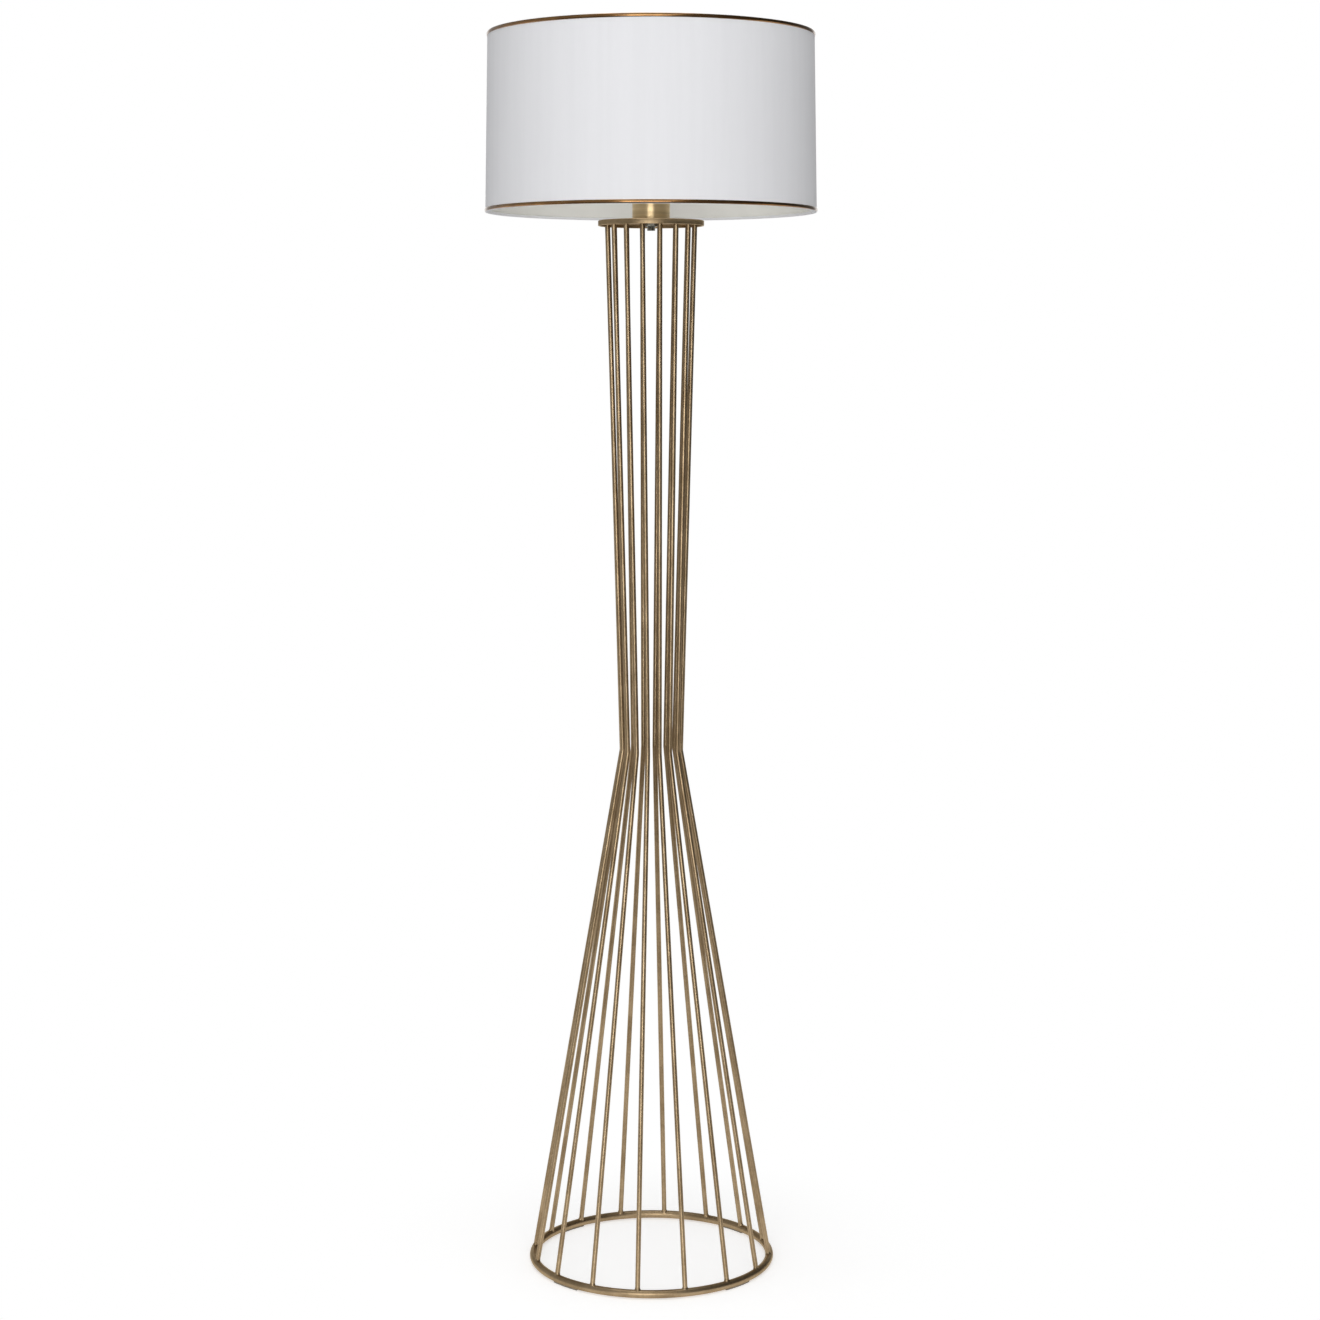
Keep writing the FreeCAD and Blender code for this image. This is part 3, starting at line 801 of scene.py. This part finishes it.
def weld(origin, direction, seat, rng):
    """A flared, slightly uneven bead round a rod's end. seat gives the distance to what carries it."""
    cage = bpy.context.scene.lamp_cage
    rod_radius = cage.rod_diameter / 2
    side = direction.orthogonal().normalized()
    rise = cage.weld_height * rng.uniform(0.82, 1.12)
    spread = cage.weld_reach * rng.uniform(0.85, 1.0)
    phases = [rng.uniform(0, math.tau) for count in range(4)]
    flare_steps = 7
    flare_power = 2.2
    root_depth = -0.4 * MM
    rows = [(step / flare_steps, None) for step in range(flare_steps + 1)]
    rows += [(0.8, root_depth), (0.0, root_depth)]
    segments = 48
    points = []
    for share, sunk in rows:
        for step in range(segments):
            turn = math.tau * step / segments
            lobes = 0.10 * math.sin(2 * turn + phases[0]) + 0.05 * math.sin(5 * turn + phases[1])
            ripple = 0.12 * math.sin(3 * turn + phases[2]) + 0.06 * math.sin(11 * turn + phases[3])
            across = rod_radius - SINK + spread * (1 + lobes) * share
            offset = spokes(direction, side, across, segments)[step]
            climb = sunk if sunk is not None else rise * (1 + ripple) * (1 - share) ** flare_power - SINK * share
            spot = origin + offset
            points.append(spot + direction * (seat(spot, direction) + climb))
    return points, grid_faces(len(rows), segments, closed=True)


class LAMP_OT_welds(bpy.types.Operator):
    """Small welds where the rods stand on the ring and meet the cap"""
    bl_idname = "lamp.welds"
    bl_label = "Welds"

    def execute(self, context):
        rng = random.Random(WELD_SEED)
        feet, tops = [], []
        for number in range(context.scene.lamp_cage.rod_count):
            foot, waist, top = rod_corners(number)
            feet.append(weld(foot, (waist - foot).normalized(), distance_to_bar, rng))
            tops.append(weld(top, (waist - top).normalized(), distance_to_cap, rng))
        make_piece("foot_welds", feet, "stand", "antique_gold", ["foot_weld_beads"], crease=60.0)
        make_piece("top_welds", tops, "stand", "antique_gold", ["top_weld_beads"], crease=60.0)
        return {"FINISHED"}


class LAMP_OT_top_cap(bpy.types.Operator):
    """Shallow round cap with a turned-down rim"""
    bl_idname = "lamp.top_cap"
    bl_label = "Top cap"

    def execute(self, context):
        cage = context.scene.lamp_cage
        radius = reach("top_cap")
        bottom, top = span("top_cap")
        hole = reach("threaded_tube") + context.scene.lamp_holder.hole_clearance
        inner = radius - cage.cap_rim_wall
        outline = rounded([
            (hole, CAP_UNDERSIDE, 0.2 * MM),
            (inner, CAP_UNDERSIDE, cage.cap_corner),
            (inner, bottom, cage.cap_rim_round),
            (radius, bottom, cage.cap_rim_round),
            (radius, top, cage.cap_corner),
            (hole, top, 0.2 * MM),
        ], steps=6)
        turn_piece("cap_plate", outline, 240, "stand", "antique_gold", "top_cap")
        return {"FINISHED"}


# ---- tube, nut and cup ----

def screw(radius, level, turn, pitch, depth):
    """Radius of a rounded thread at a level and an angle."""
    wave = (level / pitch - turn / math.tau) % 1.0
    return radius - depth * (0.5 - 0.5 * math.cos(math.tau * wave))


def eased(value, start, end, run):
    """1 between start and end, easing to 0 over a run inside each of them."""
    share = min((value - start) / run, (end - value) / run, 1.0)
    return max(0.0, share)


def threads(limit, pitch, depth, start, end, run):
    """Cuts a thread into points outside a radius, from start to end, which runs out at both."""
    def shape(r, z, turn):
        if r < limit:
            return r, z
        return screw(r, z, turn, pitch, depth * eased(z, start, end, run)), z

    return shape


class LAMP_OT_under_cap(bpy.types.Operator):
    """Threaded tube, lock washer and hexagon nut under the cap"""
    bl_idname = "lamp.under_cap"
    bl_label = "Tube and nut"

    def execute(self, context):
        holder = context.scene.lamp_holder
        radius, bore = reach("threaded_tube"), holder.tube_bore / 2
        bottom, top = span("threaded_tube")
        pitch = holder.tube_pitch
        threaded = threads((radius + bore) / 2, pitch, holder.tube_thread, bottom, top, pitch)
        outline = [(bore, bottom)] + [(radius, z) for z in levels(bottom, top, 0.125 * MM)] + [(bore, top)]
        turn_piece(
            "tube_thread", outline, 64, "stand", "zinc_steel", "threaded_tube", shape=threaded, crease=50.0
        )

        hole = radius + holder.hole_clearance
        near, far = span("lock_washer")
        ring = reach("lock_washer")
        washer = rounded([
            (hole, near, 0.15 * MM),
            (ring, near, 0.3 * MM),
            (ring, far, 0.3 * MM),
            (hole, far, 0.15 * MM),
        ])
        turn_piece("washer_disc", washer, 96, "stand", "zinc_steel", "lock_washer")

        flat = holder.nut_across_flats / 2
        corner = flat / math.cos(math.radians(30))
        nut_low, nut_high = span("lock_nut")

        def hexagon(r, z, turn):
            if r < (radius + flat) / 2:
                return r, z
            side = flat / math.cos(turn % math.radians(60) - math.radians(30))
            bevel = flat + (z - nut_low) * 1.6
            return min(side, bevel, r), z

        rows = [(corner, z) for z in levels(nut_low, nut_high, 0.2 * MM)]
        outline = [(radius, nut_low + 0.5 * MM), (radius + 0.5 * MM, nut_low)] + rows + [(radius, nut_high)]
        turn_piece(
            "hexagon_nut", outline, 144, "stand", "zinc_steel", "lock_nut", shape=hexagon, crease=24.0
        )
        return {"FINISHED"}


class LAMP_OT_socket_cup(bpy.types.Operator):
    """Brushed brass cup under the shade"""
    bl_idname = "lamp.socket_cup"
    bl_label = "Socket cup"

    def execute(self, context):
        holder = context.scene.lamp_holder
        radius, inner = reach("socket_cup"), reach("socket_cup") - holder.cup_wall
        bottom, top = span("socket_cup")
        hole = reach("threaded_tube") + holder.hole_clearance
        outline = rounded([
            (hole, bottom, 0),
            (radius, bottom, holder.cup_corner),
            (radius, top, 0.4 * MM),
            (inner, top, 0.4 * MM),
            (inner, bottom + holder.cup_wall, 0.6 * MM),
            (hole, bottom + holder.cup_wall, 0),
        ], steps=5)
        turn_piece("cup_shell", outline, 192, "stand", "brushed_brass", "socket_cup")
        return {"FINISHED"}


# ---- lampholder ----

def grip_shape(holder, flange_radius):
    """Moves the edge of a shade ring's flange inwards at each finger grip."""
    half_width = math.radians(3.4)
    pitch = math.tau / holder.grip_count

    def shape(r, z, turn):
        if r < (flange_radius + holder.ring_neck_radius) / 2:
            return r, z
        off = (turn + pitch / 2) % pitch - pitch / 2
        return r - holder.grip_depth * max(0.0, 1 - (off / half_width) ** 2), z

    return shape


def shade_ring_outline(holder, face_level, away):
    bore = reach("lampholder_skirt") + 0.05 * MM
    flange = reach("upper_shade_ring")
    neck = holder.ring_neck_radius
    flange_back = face_level + away * holder.ring_flange
    near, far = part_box("upper_shade_ring")
    end = face_level + away * (far.z - near.z)
    return rounded([
        (bore, face_level, 0.2 * MM),
        (flange, face_level, 0.4 * MM),
        (flange, flange_back, 0.6 * MM),
        (neck, flange_back, 0.4 * MM),
        (neck, end, 0.5 * MM),
        (bore, end, 0.3 * MM),
    ])


class LAMP_OT_lampholder(bpy.types.Operator):
    """Threaded skirt, the two shade rings, the screw shell and the parts inside them"""
    bl_idname = "lamp.lampholder"
    bl_label = "Lampholder"

    def execute(self, context):
        holder = context.scene.lamp_holder
        radius, bore = reach("lampholder_skirt"), holder.skirt_bore / 2
        bottom, top = span("lampholder_skirt")
        lip, step_level = radius - holder.skirt_lip_inset, top - holder.skirt_lip
        pitch = holder.skirt_pitch
        threaded = threads((radius + lip) / 2, pitch, holder.skirt_thread, bottom, step_level, pitch)
        outer = [(radius, z) for z in levels(bottom, step_level, 0.25 * MM)]
        bevel = 0.4 * MM
        mouth = [(lip, step_level), (lip, top - bevel), (lip - bevel, top)]
        mouth += [(bore + bevel, top), (bore, top - bevel)]
        outline = [(bore, bottom)] + outer + mouth
        turn_piece(
            "skirt_thread", outline, 120, "stand", "black_plastic", "lampholder_skirt",
            shape=threaded, crease=40.0,
        )
        for name, node, face_level, away in (
            ("ring_below", "lower_shade_ring", high("lower_shade_ring").z, -1),
            ("ring_above", "upper_shade_ring", low("upper_shade_ring").z, 1),
        ):
            outline = shade_ring_outline(holder, face_level, away)
            grips = grip_shape(holder, reach(node))
            turn_piece(name, outline, 384, "stand", "black_plastic", node, shape=grips)

        shell = reach("screw_shell")
        inner = shell - holder.shell_wall
        foot, mouth = span("screw_shell")
        flange = bore * 0.6
        pitch = holder.lamp_pitch
        threaded = threads((flange + inner) / 2, pitch, 0.12 * MM, foot, mouth, pitch / 2)
        rising = [(shell, z) for z in levels(foot, mouth, 0.3 * MM)]
        falling = [(inner, z) for z in levels(mouth, foot + holder.shell_wall, 0.3 * MM)]
        outline = [(flange, foot)] + rising + falling + [(flange, foot + holder.shell_wall)]
        turn_piece("shell_thread", outline, 96, "stand", "contact_brass", "screw_shell", shape=threaded)

        dress("lampholder_base", "black_plastic")
        dress("contact_block", "ceramic_block")
        dress("terminal_screws", "zinc_steel")
        dress("centre_contact", "contact_brass")
        return {"FINISHED"}


# ---- shade ----

BOTTOM_RIM = low("bottom_hem").z
TOP_RIM = high("top_hem").z
BOTTOM_RADIUS = reach("bottom_hem")
TOP_RADIUS = reach("top_hem")
RIMS = (("low", "bottom", BOTTOM_RIM, 1), ("high", "top", TOP_RIM, -1))


def skin_radius(level):
    """Outer radius of the shade's skin at a level. It narrows evenly towards the top."""
    return BOTTOM_RADIUS + (TOP_RADIUS - BOTTOM_RADIUS) * (level - BOTTOM_RIM) / (TOP_RIM - BOTTOM_RIM)


def skin(level, outward):
    return (skin_radius(level) + outward, level)


class LAMP_OT_shade_frame(bpy.types.Operator):
    """White wire frame: hub, three arms and a hoop in each rim"""
    bl_idname = "lamp.shade_frame"
    bl_label = "Shade frame"

    def execute(self, context):
        shade = context.scene.lamp_shade
        wire, arm = shade.hoop_diameter / 2, shade.arm_diameter / 2
        for name, node in (("hoop_low", "bottom_hoop"), ("hoop_high", "top_hoop")):
            level = sum(span(node)) / 2
            section = circle(reach(node) - wire, level, wire, steps=24)
            turn_piece(name, section, 288, "shade", "white_wire", node)

        hub = reach("fitter_hub")
        under, over = span("fitter_hub")
        bore = reach("lampholder_skirt") + 1.2 * MM
        outline = rounded([
            (bore, under, 0.4 * MM),
            (hub, under, 0.6 * MM),
            (hub, over, 0.6 * MM),
            (bore, over, 0.4 * MM),
        ])
        turn_piece("hub_disc", outline, 144, "shade", "white_wire", "fitter_hub")

        middle = (under + over) / 2
        end = high("fitter_arm_back").y - 0.02 * MM
        end_level = low("fitter_arm_back").z + arm
        for name, degrees in (("back", 90.0), ("left", 210.0), ("right", 330.0)):
            corners = [
                polar(hub - 0.6 * MM, degrees, middle),
                polar(hub + shade.arm_flat_length, degrees, middle),
                polar(end - shade.arm_end_length, degrees, end_level),
                polar(end, degrees, end_level),
            ]
            stations = bent_path(corners, shade.arm_bend_radius, run_step=12 * MM, arc_steps=10)
            part = tube(stations, polar(1.0, degrees + 90.0, 0.0), arm, segments=24)
            make_piece("arm_" + name, [part], "shade", "white_wire", ["fitter_arm_" + name])
        return {"FINISHED"}


class LAMP_OT_drum(bpy.types.Operator):
    """Laminated drum skin, its lap at the back, and the fabric folded in round both rims"""
    bl_idname = "lamp.drum"
    bl_label = "Drum"

    def execute(self, context):
        shade = context.scene.lamp_shade
        bottom, top = span("shade_drum")
        wall = shade.drum_wall
        rows = levels(bottom, top, 10 * MM)
        outline = [skin(z, 0) for z in rows] + [skin(z, -wall) for z in reversed(rows)]
        drum = turn_piece("drum_skin", outline, DRUM_SEGMENTS, "shade", "shade_fabric", "shade_drum")
        drum.data.materials.append(finish("shade_liner"))
        for face in drum.data.polygons:
            inward = face.normal.x * face.center.x + face.normal.y * face.center.y < 0
            face.material_index = 1 if inward and abs(face.normal.z) < 0.5 else 0

        sweep = shade.seam_width / BOTTOM_RADIUS
        start = math.radians(90.0) - sweep / 2
        lower, upper = span("drum_seam")
        rows = levels(lower, upper, 10 * MM)
        outline = [skin(z, -0.02 * MM) for z in rows]
        outline += [skin(z, shade.seam_thickness) for z in reversed(rows)]

        def thin_sides(r, z, turn):
            edge = min(turn - start, start + sweep - turn) * r
            if r > skin_radius(z):
                r -= shade.seam_thickness * 0.25 * max(0.0, 1 - edge / (0.5 * MM)) ** 2
            return r, z

        part = lathe(outline, segments=48, shape=thin_sides, sweep=sweep, start=start)
        make_piece("drum_lap", [part], "shade", "shade_fabric", ["drum_seam"])

        inside = -(wall + shade.fit + shade.hoop_diameter + shade.fit)
        thick = shade.hem_thickness
        for end, side, rim, inward in RIMS:
            floor, cut_edge = rim + inward * thick, rim + inward * shade.hem_height
            outline = rounded([
                (*skin(rim, 0), 0.3 * MM),
                (*skin(rim, inside - thick), 0.45 * MM),
                (*skin(cut_edge, inside - thick), 0.15 * MM),
                (*skin(cut_edge, inside), 0.15 * MM),
                (*skin(floor, inside), 0.1 * MM),
                (*skin(floor, 0), 0),
            ])

            def ripple(r, z, turn):
                if abs(z - rim) < shade.hem_height * 0.6:
                    return r, z
                wave = 0.5 + 0.25 * math.sin(23 * turn) + 0.25 * math.sin(61 * turn + 1.0)
                return r, z - inward * shade.hem_ripple * wave

            turn_piece(
                "hem_" + end, outline, DRUM_SEGMENTS, "shade", "shade_fabric", side + "_hem", shape=ripple
            )
        return {"FINISHED"}


class LAMP_OT_edging(bpy.types.Operator):
    """Gold edging round the outside of both rims"""
    bl_idname = "lamp.edging"
    bl_label = "Gold edging"

    def execute(self, context):
        shade = context.scene.lamp_shade
        for end, side, rim, inward in RIMS:
            near = rim + inward * shade.trim_from_rim
            proud = reach(side + "_trim") - skin_radius(near + inward * shade.trim_height / 2)
            steps = 16
            face = []
            for step in range(steps + 1):
                share = step / steps
                bulge = shade.trim_edge + (proud - shade.trim_edge) * math.sin(math.pi * share) ** 0.8
                face.append(skin(near + inward * shade.trim_height * share, bulge))
            back = [skin(near + inward * shade.trim_height, -SINK), skin(near, -SINK)]
            outline = face + back
            turn_piece(
                "edging_" + end, outline, DRUM_SEGMENTS, "shade", "gold_edging", side + "_trim", crease=50.0
            )
        return {"FINISHED"}


# ---- bulb ----

def glass_outline(bulb, inset):
    """The glass from its neck up to the crown, at a distance inside its outer face."""
    bottom, top = span("bulb_glass")
    ball = reach("bulb_glass")
    centre = top - ball
    join = bulb.flare_angle
    start = Vector((bulb.neck_radius, bottom + bulb.neck_height))
    end = Vector((ball * math.cos(join), centre + ball * math.sin(join)))
    along = Vector((-math.sin(join), math.cos(join)))
    reach_out = (end - start).length * 0.42
    first, second = start + Vector((0, reach_out)), end - along * reach_out
    neck_steps = 16
    ball_steps = 32
    points = [(bulb.neck_radius, bottom)]
    for step in range(neck_steps + 1):
        t = step / neck_steps
        s = 1 - t
        spot = start * s ** 3 + first * (3 * s * s * t) + second * (3 * s * t * t) + end * t ** 3
        points.append((spot.x, spot.y))
    for step in range(1, ball_steps + 1):
        turn = join + (math.pi / 2 - join) * step / ball_steps
        points.append((ball * math.cos(turn), centre + ball * math.sin(turn)))
    if inset == 0:
        return points
    shifted = []
    for index, (x, z) in enumerate(points):
        before = Vector(points[max(0, index - 1)])
        after = Vector(points[min(len(points) - 1, index + 1)])
        direction = (after - before).normalized()
        shifted.append((max(0.0, x - inset * direction.y), z + inset * direction.x))
    shifted[0] = (points[0][0] - inset, bottom)
    shifted[-1] = (0.0, top - inset)
    return shifted


class LAMP_OT_bulb(bpy.types.Operator):
    """Opal globe bulb with its screw cap, insulator and contact"""
    bl_idname = "lamp.bulb"
    bl_label = "Bulb"

    def execute(self, context):
        bulb = context.scene.lamp_bulb
        pitch = context.scene.lamp_holder.lamp_pitch
        outer = glass_outline(bulb, 0)
        inner = glass_outline(bulb, bulb.glass_wall)
        outer[-1] = (0.0, outer[-1][1])
        turn_piece("globe", outer + inner[::-1], 96, "bulb", "opal_glass", "bulb_glass")

        radius, wall, shoulder = reach("bulb_cap"), bulb.cap_wall, bulb.cap_shoulder
        bottom, top = span("bulb_cap")
        thread_top = top - 3.5 * MM
        threaded = threads(
            radius - 2 * wall, pitch, bulb.cap_thread, bottom + shoulder, thread_top, pitch / 2
        )
        corner = rounded([(0, bottom, 0), (radius, bottom, shoulder), (radius, top, 0), (0, top, 0)], 6)[1:8]
        floor = bottom + shoulder + wall
        rising = [(radius, z) for z in levels(bottom + shoulder + 0.3 * MM, top, 0.3 * MM)]
        falling = [(radius - wall, z) for z in levels(top, floor, 0.3 * MM)]
        outline = [(0, bottom)] + corner + rising + falling + [(0, floor)]
        turn_piece("cap_thread", outline, 96, "bulb", "bulb_metal", "bulb_cap", shape=threaded, crease=45.0)

        tip = reach("bulb_contact")
        under, over = span("bulb_insulator")
        waist = ((tip + radius - shoulder) / 2, (under + over) / 2 + 0.5 * MM)
        outline = [(0, under), (tip, under), waist, (radius - shoulder, over), (0, over)]
        turn_piece("insulator_cone", outline, 96, "bulb", "bulb_black", "bulb_insulator")

        contact_low, contact_high = span("bulb_contact")
        dome = []
        dome_steps = 8
        for step in range(dome_steps + 1):
            share = step / dome_steps
            level = contact_low + (contact_high - contact_low) * share ** 2
            dome.append((tip * math.sin(share * math.pi / 2), level))
        dome[0] = (0.0, contact_low)
        turn_piece("contact_dome", dome + [(0.0, contact_high)], 72, "bulb", "bulb_metal", "bulb_contact")
        return {"FINISHED"}


# ---- studio ----

def seen_ray(tree):
    """1 for rays that show the studio to the camera, straight or by way of metal and glass."""
    path = add(tree, "ShaderNodeLightPath").outputs
    either = calculate(tree, "MAXIMUM", path["Is Camera Ray"], path["Is Glossy Ray"])
    return calculate(tree, "MAXIMUM", either, path["Is Transmission Ray"])


def emission(tree, strength=1.0):
    glow = add(tree, "ShaderNodeEmission")
    feed(glow.inputs["Strength"], strength)
    return glow.outputs[0]


def mix_shaders(tree, share, first, second):
    both = add(tree, "ShaderNodeMixShader")
    for socket, value in zip(both.inputs, (share, first, second)):
        feed(socket, value)
    return both.outputs[0]


def make_floor_finish(studio, floor_colour):
    """Pale floor that keeps the lamp's shadow and passes into plain white further out. In front of the lamp,
    metal shows a painted dark reflection of it instead of the lit floor.
    """
    material, tree, shader = new_surface("studio_floor", {"Roughness": 0.9, "Specular IOR Level": 0.1})
    shaded = [part * 0.985 for part in floor_colour]
    paper = place_group(tree, patina(), Light=solid(floor_colour), Dark=solid(shaded), Scale=3.0)
    feed(shader.inputs["Base Color"], paper["Colour"])
    seen = seen_ray(tree)
    lit = add(tree, "ShaderNodeAddShader")
    feed(lit.inputs[0], shader.outputs[0])
    feed(lit.inputs[1], emission(tree, product(tree, seen, studio.floor_glow)))
    coordinates = add(tree, "ShaderNodeTexCoord").outputs["Object"]
    distance = add(tree, "ShaderNodeVectorMath", operation="LENGTH")
    feed(distance.inputs[0], coordinates)
    far = remap(tree, distance.outputs["Value"], studio.fade_start, studio.fade_end, smooth=True)
    faded = mix_shaders(tree, product(tree, far, seen), lit.outputs[0], emission(tree))
    parts = add(tree, "ShaderNodeSeparateXYZ")
    feed(parts.inputs[0], coordinates)
    # Painted reflection: glossy rays see the floor in front of the lamp as a dim emission instead of its lit
    # surface, so metal shows painted shade on its lower faces.
    front = remap(tree, parts.outputs["Y"], -studio.front_end, -studio.front_start, 1.0, 0.0, smooth=True)
    glossy = add(tree, "ShaderNodeLightPath").outputs["Is Glossy Ray"]
    floor_with_painted_reflection = mix_shaders(tree, product(tree, front, glossy), faded, emission(tree, studio.painted_front_reflection))
    output = next(node for node in tree.nodes if node.type == "OUTPUT_MATERIAL")
    feed(output.inputs["Surface"], floor_with_painted_reflection)
    return material


def make_world(studio):
    """White backdrop where it is seen, a dimmer room beside it in reflections, and an even ambient light."""
    world = bpy.data.worlds.new("studio_world")
    world.use_nodes = True
    tree = world.node_tree
    tree.nodes.clear()
    parts = add(tree, "ShaderNodeSeparateXYZ")
    feed(parts.inputs[0], add(tree, "ShaderNodeTexCoord").outputs["Generated"])
    side = product(tree, parts.outputs["X"], -studio.room_slope)
    room = calculate(tree, "MAXIMUM", calculate(tree, "ADD", side, studio.room_front), DARKEST_ROOM)
    backdrop = remap(tree, parts.outputs["Y"], BACKDROP_START, BACKDROP_END, smooth=True)
    lifted = product(tree, calculate(tree, "SUBTRACT", 1.0, room), backdrop)
    reflected = calculate(tree, "ADD", room, lifted)
    path = add(tree, "ShaderNodeLightPath").outputs
    mirror = calculate(tree, "MAXIMUM", path["Is Glossy Ray"], path["Is Transmission Ray"])
    unseen = product(tree, calculate(tree, "SUBTRACT", 1.0, mirror), studio.ambient)
    around = calculate(tree, "ADD", unseen, product(tree, mirror, reflected))
    hidden = product(tree, around, calculate(tree, "SUBTRACT", 1.0, path["Is Camera Ray"]))
    background = add(tree, "ShaderNodeBackground")
    background.inputs["Color"].default_value = (1.0, 1.0, 1.0, 1.0)
    feed(background.inputs["Strength"], calculate(tree, "ADD", hidden, path["Is Camera Ray"]))
    output = add(tree, "ShaderNodeOutputWorld")
    feed(output.inputs["Surface"], background.outputs[0])
    return world


def soft_light(name, middle, pitch, width, height, power):
    """A rectangular soft light. Pitch 0 faces down and a quarter turn faces along +Y."""
    light = bpy.data.lights.new(name, "AREA")
    light.shape = "RECTANGLE"
    light.size = width
    light.size_y = height
    light.energy = power
    lamp = bpy.data.objects.new(name, light)
    lamp.location = middle
    lamp.rotation_euler = (pitch, 0.0, 0.0)
    bpy.context.scene.collection.objects.link(lamp)


class LAMP_OT_studio(bpy.types.Operator):
    """Pale floor, white backdrop, soft light and the camera"""
    bl_idname = "lamp.studio"
    bl_label = "Studio"

    def execute(self, context):
        scene = context.scene
        studio = scene.lamp_studio
        scene.view_settings.view_transform = "Standard"
        scene.world = make_world(studio)

        sides = 96
        rim = [polar(studio.floor_radius, 360.0 * step / sides, 0.0) for step in range(sides)]
        mesh = bpy.data.meshes.new("floor")
        mesh.from_pydata(rim, [], [tuple(range(sides))])
        mesh.materials.append(make_floor_finish(studio, scene.lamp_colours.floor))
        floor = bpy.data.objects.new("floor", mesh)
        scene.collection.objects.link(floor)

        level_key = math.radians(90.0) - studio.key_tilt
        overhead = studio.overhead_side
        upright = math.radians(90.0)
        soft_light(
            "strip", studio.strip_place, upright, studio.strip_width, studio.strip_height, studio.strip_power
        )
        soft_light("key", studio.key_place, level_key, studio.key_width, studio.key_height, studio.key_power)
        soft_light("overhead", studio.overhead_place, 0.0, overhead, overhead, studio.overhead_power)

        lens = bpy.data.cameras.new("camera")
        lens.sensor_width = 36.0
        lens.lens = studio.camera_lens
        camera = bpy.data.objects.new("camera", lens)
        camera.location = studio.camera_place
        camera.rotation_euler = (math.radians(90.0) - studio.camera_pitch, 0.0, -studio.camera_yaw)
        scene.collection.objects.link(camera)
        scene.camera = camera
        return {"FINISHED"}


# ---- add-on ----

OPERATORS = (
    LAMP_OT_foot_ring,
    LAMP_OT_rods,
    LAMP_OT_welds,
    LAMP_OT_top_cap,
    LAMP_OT_under_cap,
    LAMP_OT_socket_cup,
    LAMP_OT_lampholder,
    LAMP_OT_shade_frame,
    LAMP_OT_drum,
    LAMP_OT_edging,
    LAMP_OT_bulb,
    LAMP_OT_studio,
)

SETTINGS = (
    ("lamp_cage", LampCage),
    ("lamp_holder", LampHolder),
    ("lamp_shade", LampShade),
    ("lamp_bulb", LampBulb),
    ("lamp_colours", LampColours),
    ("lamp_studio", LampStudio),
)


class LAMP_PT_build(bpy.types.Panel):
    """Lists the lamp's pieces and the sizes they are built from"""
    bl_idname = "LAMP_PT_build"
    bl_label = "Wire cage floor lamp"
    bl_space_type = "VIEW_3D"
    bl_region_type = "UI"
    bl_category = "Lamp"

    def draw(self, context):
        pieces = self.layout.column(align=True)
        for operator in OPERATORS:
            pieces.operator(operator.bl_idname)
        for name, group in SETTINGS:
            box = self.layout.box()
            box.label(text=group.__doc__)
            for setting in group.__annotations__:
                box.prop(getattr(context.scene, name), setting)


def register():
    for name, group in SETTINGS:
        bpy.utils.register_class(group)
        setattr(bpy.types.Scene, name, PointerProperty(type=group))
    for operator in OPERATORS:
        bpy.utils.register_class(operator)
    bpy.utils.register_class(LAMP_PT_build)


def unregister():
    bpy.utils.unregister_class(LAMP_PT_build)
    for operator in reversed(OPERATORS):
        bpy.utils.unregister_class(operator)
    for name, group in reversed(SETTINGS):
        delattr(bpy.types.Scene, name)
        bpy.utils.unregister_class(group)


def main():
    register()
    bpy.ops.lamp.foot_ring()
    bpy.ops.lamp.rods()
    bpy.ops.lamp.welds()
    bpy.ops.lamp.top_cap()
    bpy.ops.lamp.under_cap()
    bpy.ops.lamp.socket_cup()
    bpy.ops.lamp.lampholder()
    bpy.ops.lamp.shade_frame()
    bpy.ops.lamp.drum()
    bpy.ops.lamp.edging()
    bpy.ops.lamp.bulb()
    bpy.ops.lamp.studio()


if __name__ == "__main__":
    main()
